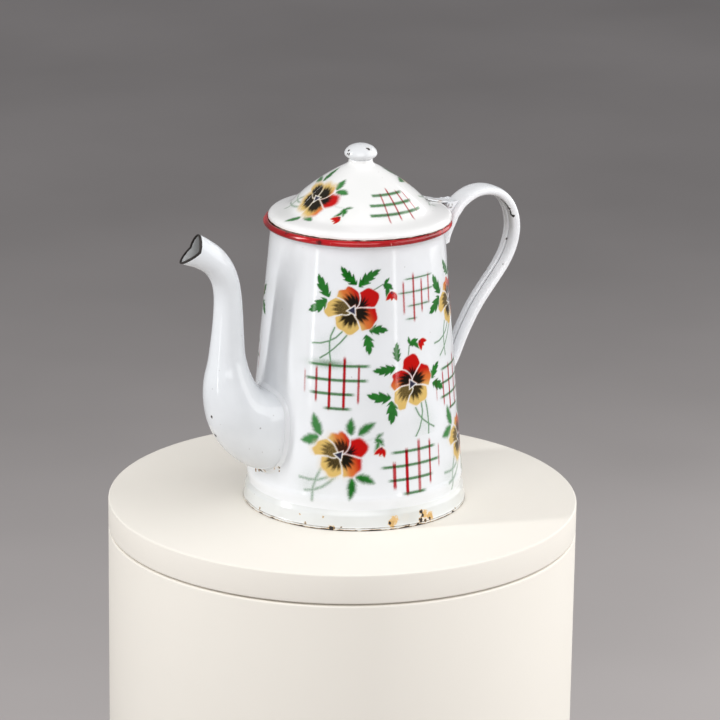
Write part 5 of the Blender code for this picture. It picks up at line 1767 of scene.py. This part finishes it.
# %% The motifs
plain_pansy = partial(pansy, red_from=math.radians(30), red_start=-0.45, blotch=1.08, spread=1.04)
leaning_pansy = partial(
    pansy, red_from=math.radians(38), red_start=-0.56, leaves=LEANING_LEAVES, blotch=1.05)
misty_pansy = partial(
    pansy, red_from=math.radians(30), red_start=-0.38, leaves=MISTY_LEAVES, stems=MISTY_STEMS, soft=0.7,
    rim=1.3, leaf_soft=1.7, pale=0.2, halo=0.25)
lid_pansy = partial(
    pansy, red_from=math.radians(23), red_start=0.05, leaves=LID_LEAVES, bud=(5.5, -4.0), soft=0.6, rim=2.0,
    leaf_soft=1.3, pale=0.5, halo=0.9, blotch=1.4, spread=1.22, feathers=0.4)
full_check = partial(check, uprights=FULL_UPRIGHTS, bars=FULL_BARS, bold=0.9)
misty_check = partial(
    check, uprights=FULL_UPRIGHTS[:-1], bars=MISTY_BARS, bar_width=1.9, bold=0.95, mist=0.75)
bold_check = partial(check, uprights=BOLD_UPRIGHTS, bars=FULL_BARS, bar_width=1.8)
thin_check = partial(check, uprights=THIN_UPRIGHTS, bars=THIN_BARS, bar_width=1.0, bold=1.2)
lid_check = partial(check, uprights=LID_UPRIGHTS, bars=LID_BARS, bar_width=2.1, fan=0.018, taper=1.2)
print("four pansies and five checks")


# %% Their places on the wall
def placed(motifs, repeats=(0,)):
    """Rows of motif, angle, level, turn and size, in metres and radians, repeated round the axis."""
    return [(motif, angle + further, level * MM, math.radians(turn), size[0] if size else 1.0)
            for motif, angle, level, turn, *size in motifs for further in repeats]


# The motif, its angle about the axis, its height in millimetres and its turn in degrees. The
# spout stands at 180 degrees and the handle at 0, and the camera looks from -118
FRONT_MOTIFS = (
    (plain_pansy, -120.5, 139.8, 0), (leaning_pansy, -83.9, 90.9, 52), (misty_pansy, -126.3, 48.2, -14),
    (plain_pansy, -40.0, 135.0, 0), (misty_pansy, -39.0, 44.6, -14), (thin_check, -79.2, 145.3, 0),
    (misty_check, -129.1, 93.7, 0), (bold_check, -85.0, 38.0, 0), (full_check, -45.5, 83.7, 0),
)
BACK_MOTIFS = (
    (leaning_pansy, 140.0, 133.0, 52), (plain_pansy, 95.9, 89.0, 0), (misty_pansy, 138.3, 48.2, -14),
    (plain_pansy, 52.0, 135.0, 0), (misty_pansy, 51.0, 44.6, -14), (thin_check, 91.2, 145.3, 0),
    (full_check, 141.1, 93.7, 0), (bold_check, 97.0, 38.0, 0), (full_check, 57.5, 83.7, 0),
)
WALL_LEVELS = (SKIRT_TOP, WALL_TOP_HEIGHT)
WALL_SIDES = {"wall_stencils_front": (-180, 0), "wall_stencils_back": (0, 180)}
wall_motifs = placed(FRONT_MOTIFS + BACK_MOTIFS)
stencil_enamel = enamel("stencil_enamel", print_over=stencil_inks)
for title, sides in WALL_SIDES.items():
    stencil(title, "pot", wall_profile, WALL_LEVELS, sides, wall_motifs, stencil_enamel)

# %% The lid's motifs, twice round
LID_LEVELS = (1.0 * MM, 60.0 * MM)
LID_MOTIFS = ((lid_pansy, -169.5, 30.4, -35, 0.88), (lid_check, -85.9, 28.4, 0))
lid_motifs = placed(LID_MOTIFS, (0, 180))
lid_stencil_enamel = enamel("lid_stencil_enamel", LID_WHITE, LID_CLOUD, print_over=stencil_inks)
stencil("lid_stencils", "lid", lid_profile, LID_LEVELS, (-180, 180), lid_motifs,
        lid_stencil_enamel, LID_SET_BACK)
